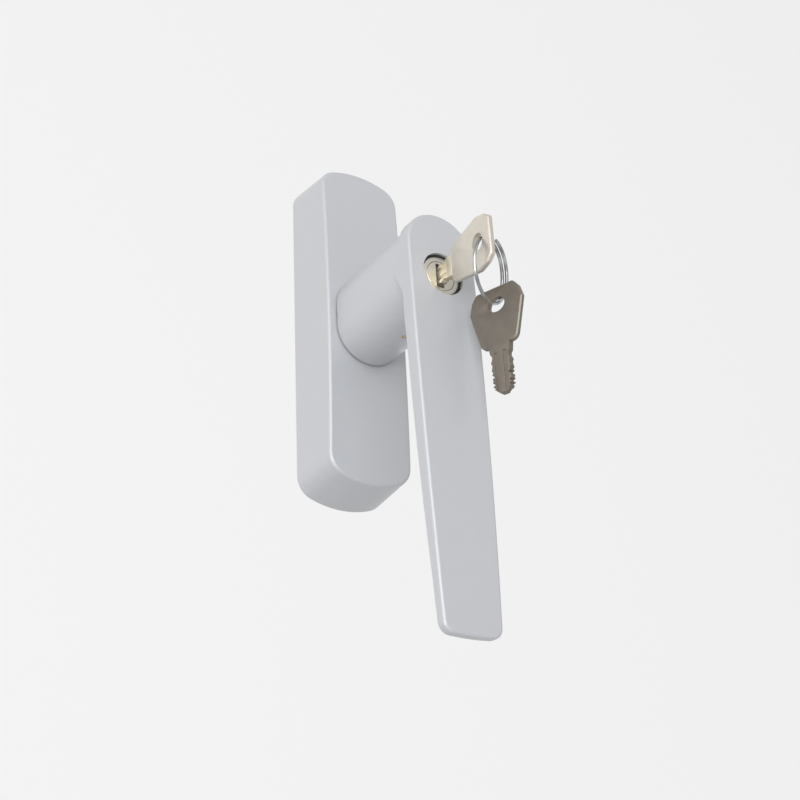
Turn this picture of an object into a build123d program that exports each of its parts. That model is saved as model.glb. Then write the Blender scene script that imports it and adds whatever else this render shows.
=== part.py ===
"""Locking window handle: a deep gear case, a lever handle with a key lock, two keys on a split ring.

Millimetres. The origin lies on the spindle's axis, on the plane where the case meets the window.
+X points right as seen from the room, -Y out of the window towards the hand, +Z up.
Depths are measured from that plane towards the hand, so a depth of d stands at y = -d.
"""

from build123d import *
import math
import os

os.makedirs("parts", exist_ok=True)

# Gear case
case_z = 2.1
case_back_half_w = 17.7
case_back_half_h = 67.2
case_front_half_w = 16.65
case_front_half_h = 65.0
case_side_depth = 20.4
case_crown = 1.8
case_arch = 4.6
case_corner_r = 8.1
case_edge_fillet = 1.2
case_wall = 2.5
case_end_wall = 4.4
case_front_wall = 2.4
case_floor_depth = case_side_depth - case_front_wall
case_depth = case_side_depth + case_crown

# Back plate
plate_t = 2.5
plate_gap = 0.1
plate_rail_gap = 0.3
pocket_half_w = case_back_half_w - case_wall
pocket_half_h = case_back_half_h - case_end_wall
pocket_corner_r = case_corner_r - case_wall

# Fixing bosses for the screws that come through the sash
fixing_end_gap = 13.2
fixing_z = case_back_half_h - fixing_end_gap
fixing_boss_r = 5.5
fixing_hole_r = 2.1
fixing_hole_depth = 12.0
boss_fit = 0.15

# Screws: shank radius, head radius, head height, length under the head
plate_screw_r = 1.5
plate_screw_head_r = 2.8
plate_screw_head_h = 1.5
plate_screw_length = 8.0
plate_screw_side_gap = 7.2
plate_screw_end_gap = 12.7
plate_screw_x = case_back_half_w - plate_screw_side_gap
plate_screw_z = case_back_half_h - plate_screw_end_gap
plate_screw_boss_r = 2.9
disc_screw_r = 1.0
disc_screw_head_r = 1.9
disc_screw_head_h = 1.0
disc_screw_length = 3.0
screw_hole_gap = 0.15
screw_hole_spare = 0.5
through = 1.0
sink_in = 0.5

# Neck, head and blade of the lever
neck_half_w = 13.15
neck_top_z = 4.15
neck_low_z = -4.1
neck_gap = 0.6
neck_depth = case_depth + neck_gap
head_half_w = 13.5
head_arc_z = 5.25
lever_tip_z = -130.3
lever_tip_half_w = 10.7
lever_taper_z = -9.0
lever_tip_corner_r = 3.8
lever_tip_arch = 0.6
neck_length = 41.3
head_t = 5.05
lever_back_root = neck_depth + neck_length
lever_front_top = lever_back_root + head_t
lever_front_mid = lever_front_top + 1.55
lever_front_mid_z = -55.0
lever_front_tip = lever_front_top + 2.35
lever_back_mid = lever_back_root + 1.6
lever_back_mid_z = -75.0
lever_back_tip = lever_back_root + 3.95
lever_front_fillet = 1.0
lever_back_fillet = 0.8
neck_fillet = 5.5
root_sink = 1.0

# Spindle and its screw
spindle_side = 7.0
spindle_fit = 0.05
spindle_back_depth = 7.5
spindle_socket_length = 9.2
spindle_socket_depth = neck_depth + spindle_socket_length
spindle_chamfer = 0.4
web_t = 2.0
spindle_screw_r = 1.5
spindle_screw_head_r = 2.6
spindle_screw_head_h = 2.2
spindle_screw_length = 9.0
washer_t = 0.5
hex_socket = 2.0
hex_socket_depth = 1.3

# Pinion: module, teeth, pressure angle and backlash set the racks too
gear_module = 1.0
pinion_teeth = 16
pressure_angle = 20.0
backlash = 0.14
pinion_back_depth = 8.0
pinion_width = 6.0
pitch_r = gear_module * pinion_teeth / 2
outer_r = pitch_r + gear_module
root_r = pitch_r - 1.25 * gear_module
hub_r = 6.4
hub_gap = 0.35
tooth_foot_sink = 0.3
rear_journal_r = 4.5
rear_journal_depth = 3.2
journal_fit = 0.05
cross_pin_r = 1.0
cross_pin_end_gap = 0.15
cross_pin_past_teeth = 1.2
cross_pin_depth = pinion_back_depth + pinion_width + cross_pin_past_teeth

# Bushes, lock disc and slip ring
front_bush_r = 8.0
front_bush_behind_floor = 1.6
front_bush_back_depth = case_floor_depth - front_bush_behind_floor
front_boss_r = 9.4
rear_bush_r = 6.4
rear_boss_r = 8.6
rear_boss_h = 3.4
disc_sink = 2.5
disc_seat_depth = case_depth - disc_sink
disc_r = 12.0
disc_t = 2.4
disc_hub_gap = 0.25
disc_chamfer = 0.3
slip_ring_r = 12.9
ring_seat_gap = 0.05
slip_gap = 0.05
disc_screw_angle = 45.0
disc_screw_ring_r = 9.6

# Racks and drive pins
turn_range = 90.0
rack_travel = pitch_r * math.radians(turn_range)
rack_back_depth = 7.5
rack_width = 7.0
rack_side_gap = 0.3
rack_outer_x = pocket_half_w - rack_side_gap
rack_slide_gap = 0.1
rack_bar_top = 33.0
rack_teeth_reach = 5.0
rack_arm_low = 24.0
rack_arm_high = 32.0
rack_arm_inner_x = 4.5
rail_inner_x = 10.6
rail_end_gap = 7.5
rail_end_z = fixing_z - rail_end_gap
drive_pin_r = 3.0
drive_pin_shank_r = 3.3
drive_pin_z = (rack_arm_low + rack_arm_high) / 2
drive_pin_reach = 12.0
drive_pin_seat_depth = rack_back_depth + 5.5
drive_pin_groove_r = 2.7
drive_pin_groove_inside = 0.3
drive_pin_groove_outside = 0.5
drive_pin_chamfer = 0.6
slot_gap = 0.3

# Lock: its axis lies below the spindle's
lock_z = -5.2
lock_bore_r = 8.0
lock_face_sink = 1.05
lock_face_depth = lever_front_top - lock_face_sink
lock_face_chamfer = 0.5
cylinder_r = 7.95
cylinder_face_r = 7.6
cylinder_face_length = 6.1
cylinder_neck_depth = lock_face_depth - cylinder_face_length
cavity_end_gap = 0.3
screw_seat_depth = spindle_socket_depth + web_t
head_seat_depth = screw_seat_depth + washer_t
cavity_back_depth = head_seat_depth + spindle_screw_head_h + cavity_end_gap
plug_r = 5.0
plug_fit = 0.05
plug_flange_r = 5.6
plug_flange_t = 1.2
plug_tail_r = 3.0
plug_body_length = 21.1
plug_body_depth = lock_face_depth - plug_body_length
plug_flange_gap = 0.05
keyway_mouth_depth = 0.9
keyway_mouth_side = 0.6
keyway_mouth_ends = 0.4
plug_chamfer = 0.25
chamber_past_plug = 1.2
catch_pin_r = 1.1
catch_pin_from_neck = 22.6
catch_pin_depth = neck_depth + catch_pin_from_neck
catch_pin_bite = 1.65
catch_pin_end_gap = 0.1
catch_pin_chamfer = 0.2

# Locking bolt and the slanted cam that drives it
bolt_z = -9.3
bolt_r = 2.0
bolt_fit = 0.08
bolt_rest_recess = 0.35
bolt_travel = 3.2
key_turn_range = 90.0
bolt_dome_r = 2.35
bolt_collar_r = 3.1
bolt_collar_t = 1.0
bolt_collar_from_neck = 13.2
bolt_collar_depth = neck_depth + bolt_collar_from_neck
bolt_chamfer = 0.3
bolt_pocket_r = 3.4
bolt_pocket_from_neck = 5.2
bolt_pocket_depth = neck_depth + bolt_pocket_from_neck
bolt_hole_gap = 0.2
cam_r = 5.6
cam_from_neck = 17.35
cam_centre_depth = neck_depth + cam_from_neck
cam_base_t = 0.6
cam_gap = 0.12
bolt_arm = lock_z - bolt_z
cam_slope = bolt_travel / (2 * bolt_arm * math.sin(math.radians(key_turn_range / 2)))
cam_angle = math.degrees(math.atan(cam_slope))
cam_base_depth = cam_centre_depth + cam_r * cam_slope + cam_base_t
cam_back_gap = 0.15
cylinder_back_depth = cam_base_depth + cam_back_gap
cam_screw_r = 1.0
cam_screw_head_r = 1.7
cam_screw_head_h = 1.0
cam_screw_seat = 1.2
cam_screw_length = 5.0
cam_screw_slot_w = 0.5
cam_tongue_w = 1.6
cam_tongue_l = 5.6
cam_tongue_t = 0.6
cam_tongue_gap = 0.05

# Springs
bolt_spring_r = 2.65
bolt_spring_wire_r = 0.22
bolt_spring_turns = 5
detent_spring_r = 1.3
detent_spring_wire_r = 0.2
detent_spring_turns = 5
spring_end_gap = 0.05

# Detent
detent_ball_r = 2.0
detent_z = 9.3
detent_fit = 0.1
detent_gap = 0.05
detent_bore_length = 8.7
detent_bore_depth = neck_depth + detent_bore_length
detent_dimple_depth = 0.6
detent_dimple_floor_r = detent_ball_r - 1.0
detent_dimple_mouth_r = detent_ball_r - 0.3

# Key: shoulder at u = 0, bow towards +u, blade towards -u, v across
key_neck = 7.2
key_shoulder_depth = lock_face_depth + key_neck
bow_t = 2.0
bow_length = 21.4
bow_root_half_w = 6.8
bow_half_w = 10.35
bow_wide_u = 14.6
bow_corner_u = 18.8
bow_corner_half_w = 9.2
bow_end_half_w = 7.2
bow_fillet = 1.3
bow_shoulder_fillet = 2.6
bow_bevel = 0.4
key_hole_u = 14.8
key_hole_v = 0.4
key_hole_half_u = 2.7
key_hole_half_v = 3.2
blade_in_lock = 9.9
blade_length = key_neck + blade_in_lock
blade_end_gap = 0.5
blade_half_w = 4.05
blade_t = 2.3
blade_point = 1.8
blade_point_half_w = 1.2
blade_point_draw = 0.5
blade_edge_wear = 0.1
blade_groove_w = 1.1
blade_groove_depth = 0.6
blade_groove_v = 1.7
blade_fit = 0.1
wafer_first = 2.2
cut_first_u = key_neck + wafer_first
cut_pitch = 1.4
cut_depths = (0.7, 1.2, 0.6, 1.3, 0.9)
cut_half_w = 0.55

# Wafers
wafer_t = 0.8
wafer_half_w = 1.9
wafer_half_h = 4.8
wafer_fit = 0.1
wafer_ear_w = 1.2
wafer_ear_low = -2.6
wafer_ear_high = -1.6
wafer_spring_r = 0.4
wafer_spring_bore_r = 0.25
wafer_spring_top = 2.2

# Split ring: one wire of somewhat more than a turn, its ends overlapping
ring_r = 10.9
ring_wire_r = 0.6
ring_pitch = 1.65
ring_start_angle = -30.0
ring_end_angle = 450.0
ring_yaw = 27.0
ring_lean = -10.5
ring_cross_angle = 131.0
ring_cross_above = 1.15
ring_cross_beyond = 1.2

# Spare key, hanging upright on the ring
spare_yaw = -72.0
spare_ring_angle = -54.0
spare_rim_gap = 1.2


def face_plane(depth, x=0.0, z=0.0):
    """A plane that faces the hand, at a depth, with its sketch axes along +X and +Z."""
    return Plane(origin=(x, -depth, z), x_dir=(1, 0, 0), z_dir=(0, -1, 0))


def back_plane(depth, x=0.0, z=0.0):
    """A plane that faces the window, at a depth."""
    return Plane(origin=(x, -depth, z), x_dir=(1, 0, 0), z_dir=(0, 1, 0))


def side_plane(x=0.0):
    """A plane that faces +X, with its sketch axes along +Y and +Z."""
    return Plane(origin=(x, 0, 0), x_dir=(0, 1, 0), z_dir=(1, 0, 0))


def arched_plate(plane, half_w, half_h, corner_r):
    """A plate outline with arched ends and rounded corners."""
    with BuildSketch(plane) as outline:
        with BuildLine():
            right = Line((half_w, case_arch - half_h), (half_w, half_h - case_arch))
            top = ThreePointArc(right @ 1, (0, half_h), (-half_w, half_h - case_arch))
            left = Line(top @ 1, (-half_w, case_arch - half_h))
            ThreePointArc(left @ 1, (0, -half_h), right @ 0)
        make_face()
        fillet(outline.vertices(), corner_r)
    return outline.sketch


def neck_outline(plane):
    """The upright slot shape of the neck's section."""
    with BuildSketch(plane) as outline:
        with BuildLine():
            right = Line((neck_half_w, neck_low_z), (neck_half_w, neck_top_z))
            top = ThreePointArc(right @ 1, (0, neck_top_z + neck_half_w), (-neck_half_w, neck_top_z))
            left = Line(top @ 1, (-neck_half_w, neck_low_z))
            ThreePointArc(left @ 1, (0, neck_low_z - neck_half_w), right @ 0)
        make_face()
    return outline.sketch


def lever_outline(plane):
    """The front outline of head and blade: a round top, and sides that draw in towards the tip."""
    shoulder_z = lever_tip_z + lever_tip_arch
    with BuildSketch(plane) as outline:
        with BuildLine():
            right = Line((head_half_w, lever_taper_z), (head_half_w, head_arc_z))
            top = ThreePointArc(right @ 1, (0, head_arc_z + head_half_w), (-head_half_w, head_arc_z))
            left = Line(top @ 1, (-head_half_w, lever_taper_z))
            left_taper = TangentArc(left @ 1, (-lever_tip_half_w, shoulder_z), tangent=(0, -1))
            tip = ThreePointArc(left_taper @ 1, (0, lever_tip_z), (lever_tip_half_w, shoulder_z))
            TangentArc(right @ 0, tip @ 1, tangent=(0, -1))
        make_face()
        fillet(outline.vertices().group_by(Axis.Y)[0], lever_tip_corner_r)
    return outline.sketch


def lever_profile(plane):
    """The side profile of head and blade between a bowed front and a tapering back."""
    low_z = lever_tip_z - through
    high_z = head_arc_z + head_half_w + through
    root_z = neck_low_z - neck_half_w - neck_fillet
    with BuildSketch(plane) as outline:
        with BuildLine():
            front = ThreePointArc(
                (-lever_front_top, high_z), (-lever_front_mid, lever_front_mid_z), (-lever_front_tip, low_z)
            )
            back = ThreePointArc(
                (-lever_back_tip, low_z), (-lever_back_mid, lever_back_mid_z), (-lever_back_root, root_z)
            )
            Line(front @ 1, back @ 0)
            Polyline(back @ 1, (-lever_back_root, high_z), front @ 0)
        make_face()
    return outline.sketch


def rod(depth_from, depth_to, radius, x=0.0, z=0.0, mode=Mode.ADD):
    """Adds or cuts a round bar along Y between two depths."""
    with BuildSketch(face_plane(depth_from, x, z)) as circle:
        Circle(radius)
    extrude(circle.sketch, amount=depth_to - depth_from, mode=mode)


def block(depth_from, depth_to, x_span, z_span, mode=Mode.ADD):
    """Adds or cuts a box between two depths, two x values and two z values."""
    x_mid = (x_span[0] + x_span[1]) / 2
    z_mid = (z_span[0] + z_span[1]) / 2
    with BuildSketch(face_plane(depth_from, x_mid, z_mid)) as base:
        Rectangle(abs(x_span[1] - x_span[0]), abs(z_span[1] - z_span[0]))
    extrude(base.sketch, amount=depth_to - depth_from, mode=mode)


def countersunk_screw(plane, shank_r, head_r, head_h, length):
    """A countersunk screw with a cross recess: head face on the plane, shank along its normal."""
    with BuildPart() as screw:
        with BuildSketch(plane):
            Circle(head_r)
        with BuildSketch(plane.offset(head_h)):
            Circle(shank_r)
        loft(ruled=True)
        with BuildSketch(plane.offset(head_h)):
            Circle(shank_r)
        extrude(amount=length - head_h)
        with BuildSketch(plane):
            Rectangle(1.2 * head_r, 0.28 * head_r)
            Rectangle(0.28 * head_r, 1.2 * head_r)
        extrude(amount=0.7 * head_h, mode=Mode.SUBTRACT)
    return screw.part


def coil(plane, radius, wire_r, pitch, start_angle, end_angle):
    """A coil of round wire about the plane's normal, its middle on the plane, swept along arcs.

    Each quarter turn is two arcs that meet smoothly and share the helix's headings at their ends.
    """
    middle = (start_angle + end_angle) / 2
    quarters = max(1, round((end_angle - start_angle) / 90))

    def place(angle):
        turn = math.radians(angle)
        rise = pitch * (angle - middle) / 360
        return plane.from_local_coords((radius * math.cos(turn), radius * math.sin(turn), rise))

    def heading(angle):
        turn = math.radians(angle)
        local = Vector(-radius * math.sin(turn), radius * math.cos(turn), pitch / math.tau)
        return (plane.from_local_coords(local) - plane.origin).normalized()

    step = (end_angle - start_angle) / quarters
    with BuildPart() as wire:
        with BuildLine() as path:
            for index in range(quarters):
                angle = start_angle + index * step
                near, far = place(angle), place(angle + step)
                leave, arrive = heading(angle), heading(angle + step)
                reach = far - near
                both = leave + arrive
                bend = 2 - 2 * leave.dot(arrive)
                along = reach.dot(both)
                arm = (math.sqrt(along**2 + bend * reach.dot(reach)) - along) / bend
                joint = (near + far + (leave - arrive) * arm) * 0.5
                TangentArc(near, joint, tangent=leave)
                TangentArc(joint, far, tangent=(far - arrive * arm - joint).normalized())
        with BuildSketch(Plane(origin=place(start_angle), z_dir=heading(start_angle))):
            Circle(wire_r)
        sweep(path=path.line)
    samples = [path.line @ (i / 400) for i in range(401)]
    apart = int(400 * 180 / (end_angle - start_angle))
    gaps = [(a - b).length for i, a in enumerate(samples) for b in samples[i + apart:]]
    print(f"coil of wire {2 * wire_r} mm: least gap between turns {min(gaps) - 2 * wire_r:.2f} mm")
    return wire.part


def rack(side):
    """A toothed bar with an arm to the middle; side +1 is on the right, and -1 is its half-turn copy."""
    tooth_pitch = math.pi * gear_module
    phase = 0.0 if side > 0 or pinion_teeth % 2 == 0 else tooth_pitch / 2
    flank = math.tan(math.radians(pressure_angle))
    tip = 0.9 * gear_module
    root = 1.25 * gear_module
    half_tooth = tooth_pitch / 4 - backlash / 2
    first = math.floor(-rack_teeth_reach / tooth_pitch)
    last = math.ceil((rack_travel + rack_teeth_reach) / tooth_pitch)
    centres = [(index + 0.5) * tooth_pitch + phase for index in range(first, last)]
    teeth = []
    for centre in centres:
        teeth.append((pitch_r + root, centre - half_tooth - root * flank))
        teeth.append((pitch_r - tip, centre - half_tooth + tip * flank))
        teeth.append((pitch_r - tip, centre + half_tooth - tip * flank))
        teeth.append((pitch_r + root, centre + half_tooth + root * flank))
    bar_end = centres[-1] + tooth_pitch / 2
    corners = [
        (rack_outer_x, bar_end),
        (rack_outer_x, -rack_bar_top),
        (pitch_r + root, -rack_bar_top),
        (pitch_r + root, -rack_arm_high),
        (-rack_arm_inner_x, -rack_arm_high),
        (-rack_arm_inner_x, -rack_arm_low),
        (pitch_r + root, -rack_arm_low),
    ]
    outline = corners + teeth + [(pitch_r + root, bar_end)]
    with BuildPart() as bar:
        with BuildSketch(face_plane(rack_back_depth)):
            Polygon(*[(side * x, side * z) for x, z in outline], align=None)
        extrude(amount=rack_width)
        pin_z = -side * drive_pin_z
        rod(rack_back_depth - through, drive_pin_seat_depth, drive_pin_shank_r, 0, pin_z, Mode.SUBTRACT)
    return bar.part


def drive_pin(side):
    """A shanked pin seated in a rack's arm, standing out of the back towards the window's rods."""
    z = -side * drive_pin_z
    with BuildPart() as pin:
        rod(drive_pin_seat_depth, drive_pin_groove_inside, drive_pin_shank_r, 0, z)
        rod(drive_pin_seat_depth, -drive_pin_groove_outside, drive_pin_groove_r, 0, z)
        rod(-drive_pin_groove_outside, -drive_pin_reach, drive_pin_r, 0, z)
        chamfer(pin.faces().sort_by(Axis.Y)[-1].edges(), drive_pin_chamfer)
    return pin.part


def bow_sketch():
    """The outline of a key's bow, in the key's own u and v."""
    points = [
        (0, bow_root_half_w),
        (bow_wide_u, bow_half_w),
        (bow_corner_u, bow_corner_half_w),
        (bow_length, bow_end_half_w),
    ]
    with BuildSketch() as outline:
        Polygon(*points, *[(u, -v) for u, v in reversed(points)], align=None)
        fillet(outline.vertices().group_by(Axis.X)[0], bow_shoulder_fillet)
        fillet(outline.vertices().group_by(Axis.X)[2:], bow_fillet)
    return outline.sketch


def key(plane):
    """A flat key: the plane's x runs from the blade's shoulder out along the bow, its z is the thickness."""
    blade_outline = [(sink_in, blade_half_w), (0, blade_half_w)]
    for index, cut in enumerate(cut_depths):
        u = -cut_first_u - index * cut_pitch
        blade_outline.append((u + cut_half_w, blade_half_w - blade_edge_wear))
        blade_outline.append((u + cut_half_w / 3, blade_half_w - cut))
        blade_outline.append((u - cut_half_w / 3, blade_half_w - cut))
    blade_outline.append((-blade_length + blade_point, blade_half_w - blade_point_draw))
    blade_outline.append((-blade_length, blade_point_half_w))
    blade_outline = blade_outline + [(u, -v) for u, v in reversed(blade_outline)]
    with BuildPart() as body:
        with BuildSketch(plane.offset(-bow_t / 2)):
            add(bow_sketch())
        extrude(amount=bow_t)
        bow_faces = body.faces().sort_by(SortBy.AREA)[-2:]
        chamfer(bow_faces.edges(), bow_bevel)
        with BuildSketch(plane.offset(-blade_t / 2)):
            Polygon(*blade_outline, align=None)
        extrude(amount=blade_t)
        for side in (1, -1):
            with BuildSketch(plane.offset(side * (blade_t / 2 - blade_groove_depth))):
                with Locations(*[(-blade_length / 2 - through, v) for v in (blade_groove_v, -blade_groove_v)]):
                    Rectangle(blade_length + sink_in, blade_groove_w)
            extrude(amount=side * 2 * blade_groove_depth, mode=Mode.SUBTRACT)
        with BuildSketch(plane.offset(-bow_t)):
            with Locations((key_hole_u, key_hole_v)):
                Ellipse(key_hole_half_u, key_hole_half_v)
        extrude(amount=2 * bow_t, mode=Mode.SUBTRACT)
    return body.part


# Gear case: tapered shell with a crowned front, open at the back
disc_front_depth = disc_seat_depth + disc_t
disc_screw_x = disc_screw_ring_r * math.cos(math.radians(disc_screw_angle))
disc_screw_z = disc_screw_ring_r * math.sin(math.radians(disc_screw_angle))
disc_screw_places = [(disc_screw_x, disc_screw_z), (-disc_screw_x, -disc_screw_z)]
with BuildPart() as gear_case:
    case_back = arched_plate(face_plane(0, z=case_z), case_back_half_w, case_back_half_h, case_corner_r)
    case_front_plane = face_plane(case_depth, z=case_z)
    case_front = arched_plate(case_front_plane, case_front_half_w, case_front_half_h, case_corner_r)
    loft([case_back, case_front], ruled=True)
    with BuildSketch(side_plane()) as crown:
        with BuildLine():
            low_z = case_z - case_back_half_h
            high_z = case_z + case_back_half_h
            face = ThreePointArc((-case_side_depth, low_z), (-case_depth, case_z), (-case_side_depth, high_z))
            Polyline(face @ 1, (through, high_z), (through, low_z), face @ 0)
        make_face()
    extrude(crown.sketch, amount=case_back_half_w + through, both=True, mode=Mode.INTERSECT)
    fillet(gear_case.faces().sort_by(Axis.Y)[0].edges(), case_edge_fillet)
    pocket = arched_plate(face_plane(-through, z=case_z), pocket_half_w, pocket_half_h, pocket_corner_r)
    extrude(pocket, amount=case_floor_depth + through, mode=Mode.SUBTRACT)
    into_floor = case_floor_depth + sink_in
    front_rail_depth = rack_back_depth + rack_width + rack_slide_gap
    for side in (1, -1):
        rail_x = (side * rail_inner_x, side * (pocket_half_w + sink_in))
        block(front_rail_depth, into_floor, rail_x, (-rail_end_z, rail_end_z))
        fixing_boss_z = case_z + side * fixing_z
        rod(0, into_floor, fixing_boss_r, 0, fixing_boss_z)
        rod(-through, fixing_hole_depth, fixing_hole_r, 0, fixing_boss_z, Mode.SUBTRACT)
        for x in (plate_screw_x, -plate_screw_x):
            screw_z = case_z + side * plate_screw_z
            rod(plate_t, into_floor, plate_screw_boss_r, x, screw_z)
            rod(0, plate_screw_length + screw_hole_spare, plate_screw_r, x, screw_z, Mode.SUBTRACT)
    rod(front_bush_back_depth, into_floor, front_boss_r)
    rod(front_bush_back_depth - through, case_depth + through, front_bush_r, mode=Mode.SUBTRACT)
    rod(disc_seat_depth, case_depth + through, slip_ring_r + ring_seat_gap, mode=Mode.SUBTRACT)
    for x, z in disc_screw_places:
        rod(disc_front_depth - disc_screw_length, case_depth, disc_screw_r, x, z, Mode.SUBTRACT)
gear_case.part.label = "gear_case"
export_step(gear_case.part, "parts/gear_case.step")

# Back plate with slots for the drive pins, rails for the racks and the seat of the rear bush
with BuildPart() as back_plate:
    plate_half_w = pocket_half_w - plate_gap
    plate_half_h = pocket_half_h - plate_gap
    plate_corner_r = pocket_corner_r - plate_gap
    plate_outline = arched_plate(face_plane(0, z=case_z), plate_half_w, plate_half_h, plate_corner_r)
    extrude(plate_outline, amount=plate_t)
    rod(plate_t, plate_t + rear_boss_h, rear_boss_r)
    rod(plate_t, plate_t + rear_boss_h + through, rear_bush_r, mode=Mode.SUBTRACT)
    for side in (1, -1):
        rail_x = (side * rail_inner_x, side * (pocket_half_w - plate_rail_gap))
        block(plate_t, rack_back_depth - rack_slide_gap, rail_x, (-rail_end_z, rail_end_z))
        slot_near = -side * (drive_pin_z + rack_travel)
        slot_far = -side * drive_pin_z
        with BuildSketch(face_plane(-through, 0, (slot_near + slot_far) / 2)) as slot:
            SlotCenterToCenter(rack_travel, 2 * (drive_pin_shank_r + slot_gap), rotation=90)
        extrude(slot.sketch, amount=plate_t + 2 * through, mode=Mode.SUBTRACT)
        rod(-through, plate_t + through, fixing_boss_r + boss_fit, 0, case_z + side * fixing_z, Mode.SUBTRACT)
        for x in (plate_screw_x, -plate_screw_x):
            screw_z = case_z + side * plate_screw_z
            rod(-through, plate_t + through, plate_screw_r + screw_hole_gap, x, screw_z, Mode.SUBTRACT)
            with BuildSketch(face_plane(0, x, screw_z)) as sink_mouth:
                Circle(plate_screw_head_r + screw_hole_gap)
            with BuildSketch(face_plane(plate_screw_head_h, x, screw_z)) as sink_floor:
                Circle(plate_screw_r + screw_hole_gap)
            loft([sink_mouth.sketch, sink_floor.sketch], ruled=True, mode=Mode.SUBTRACT)
back_plate.part.label = "back_plate"
export_step(back_plate.part, "parts/back_plate.step")

# Screws of the back plate, heads flush with its back
with BuildPart() as back_plate_screws:
    for x in (plate_screw_x, -plate_screw_x):
        for side in (1, -1):
            place = face_plane(0, x, case_z + side * plate_screw_z)
            screw_sizes = (plate_screw_r, plate_screw_head_r, plate_screw_head_h, plate_screw_length)
            add(countersunk_screw(place, *screw_sizes))
back_plate_screws.part.label = "back_plate_screws"
export_step(back_plate_screws.part, "parts/back_plate_screws.step")

# Lock disc: hardened face under the neck, with holes for the bolt and dimples for the ball
with BuildPart() as lock_disc:
    rod(disc_seat_depth, disc_front_depth, disc_r)
    chamfer(lock_disc.faces().sort_by(Axis.Y)[0].edges(), disc_chamfer)
    disc_cut = (disc_seat_depth - through, disc_front_depth + through)
    rod(*disc_cut, hub_r + disc_hub_gap, mode=Mode.SUBTRACT)
    for x, z in ((0, bolt_z), (bolt_z, 0)):
        rod(*disc_cut, bolt_r + bolt_hole_gap, x, z, Mode.SUBTRACT)
    for x, z in ((0, detent_z), (detent_z, 0)):
        with BuildSketch(face_plane(disc_front_depth - detent_dimple_depth, x, z)) as dimple_floor:
            Circle(detent_dimple_floor_r)
        with BuildSketch(face_plane(disc_front_depth, x, z)) as dimple_mouth:
            Circle(detent_dimple_mouth_r)
        loft([dimple_floor.sketch, dimple_mouth.sketch], ruled=True, mode=Mode.SUBTRACT)
    for x, z in disc_screw_places:
        rod(*disc_cut, disc_screw_r + screw_hole_gap, x, z, Mode.SUBTRACT)
        with BuildSketch(back_plane(disc_front_depth, x, z)) as sink_mouth:
            Circle(disc_screw_head_r + screw_hole_gap)
        with BuildSketch(back_plane(disc_front_depth - disc_screw_head_h, x, z)) as sink_floor:
            Circle(disc_screw_r + screw_hole_gap)
        loft([sink_mouth.sketch, sink_floor.sketch], ruled=True, mode=Mode.SUBTRACT)
lock_disc.part.label = "lock_disc"
export_step(lock_disc.part, "parts/lock_disc.step")

with BuildPart() as lock_disc_screws:
    for x, z in disc_screw_places:
        place = back_plane(disc_front_depth, x, z)
        add(countersunk_screw(place, disc_screw_r, disc_screw_head_r, disc_screw_head_h, disc_screw_length))
lock_disc_screws.part.label = "lock_disc_screws"
export_step(lock_disc_screws.part, "parts/lock_disc_screws.step")

# Slip ring that the neck turns on
with BuildPart() as slip_ring:
    rod(disc_seat_depth, neck_depth - slip_gap, slip_ring_r)
    rod(disc_seat_depth - through, neck_depth, disc_r + ring_seat_gap, mode=Mode.SUBTRACT)
slip_ring.part.label = "slip_ring"
export_step(slip_ring.part, "parts/slip_ring.step")

# Bushes of the pinion
with BuildPart() as front_bush:
    rod(front_bush_back_depth, disc_seat_depth, front_bush_r)
    rod(front_bush_back_depth - through, disc_seat_depth + through, hub_r + journal_fit, mode=Mode.SUBTRACT)
front_bush.part.label = "front_bush"
export_step(front_bush.part, "parts/front_bush.step")

with BuildPart() as rear_bush:
    rod(plate_t, plate_t + rear_boss_h, rear_bush_r)
    rear_bush_end = plate_t + rear_boss_h
    rod(plate_t - through, rear_bush_end + through, rear_journal_r + journal_fit, mode=Mode.SUBTRACT)
rear_bush.part.label = "rear_bush"
export_step(rear_bush.part, "parts/rear_bush.step")

# Hollow where the neck's underside runs out onto the blade's back
root_outer_r = neck_half_w + neck_fillet
root_inner_r = neck_half_w - sink_in
root_near_y = neck_fillet - lever_back_root
root_far_y = -lever_back_root - root_sink
with BuildPart() as neck_root:
    with BuildSketch(Plane(origin=(0, 0, neck_low_z), x_dir=(1, 0, 0), z_dir=(0, 0, 1))) as root_section:
        with BuildLine():
            hollow = TangentArc((neck_half_w, root_near_y), (root_outer_r, root_far_y), tangent=(0, -1))
            Polyline(hollow @ 1, (root_inner_r, root_far_y), (root_inner_r, root_near_y), hollow @ 0)
        make_face()
    revolve(root_section.sketch, axis=Axis((0, 0, neck_low_z), (0, 1, 0)), revolution_arc=180)
    extrude(lever_outline(face_plane(neck_depth)), amount=lever_front_tip, mode=Mode.INTERSECT)

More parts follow.
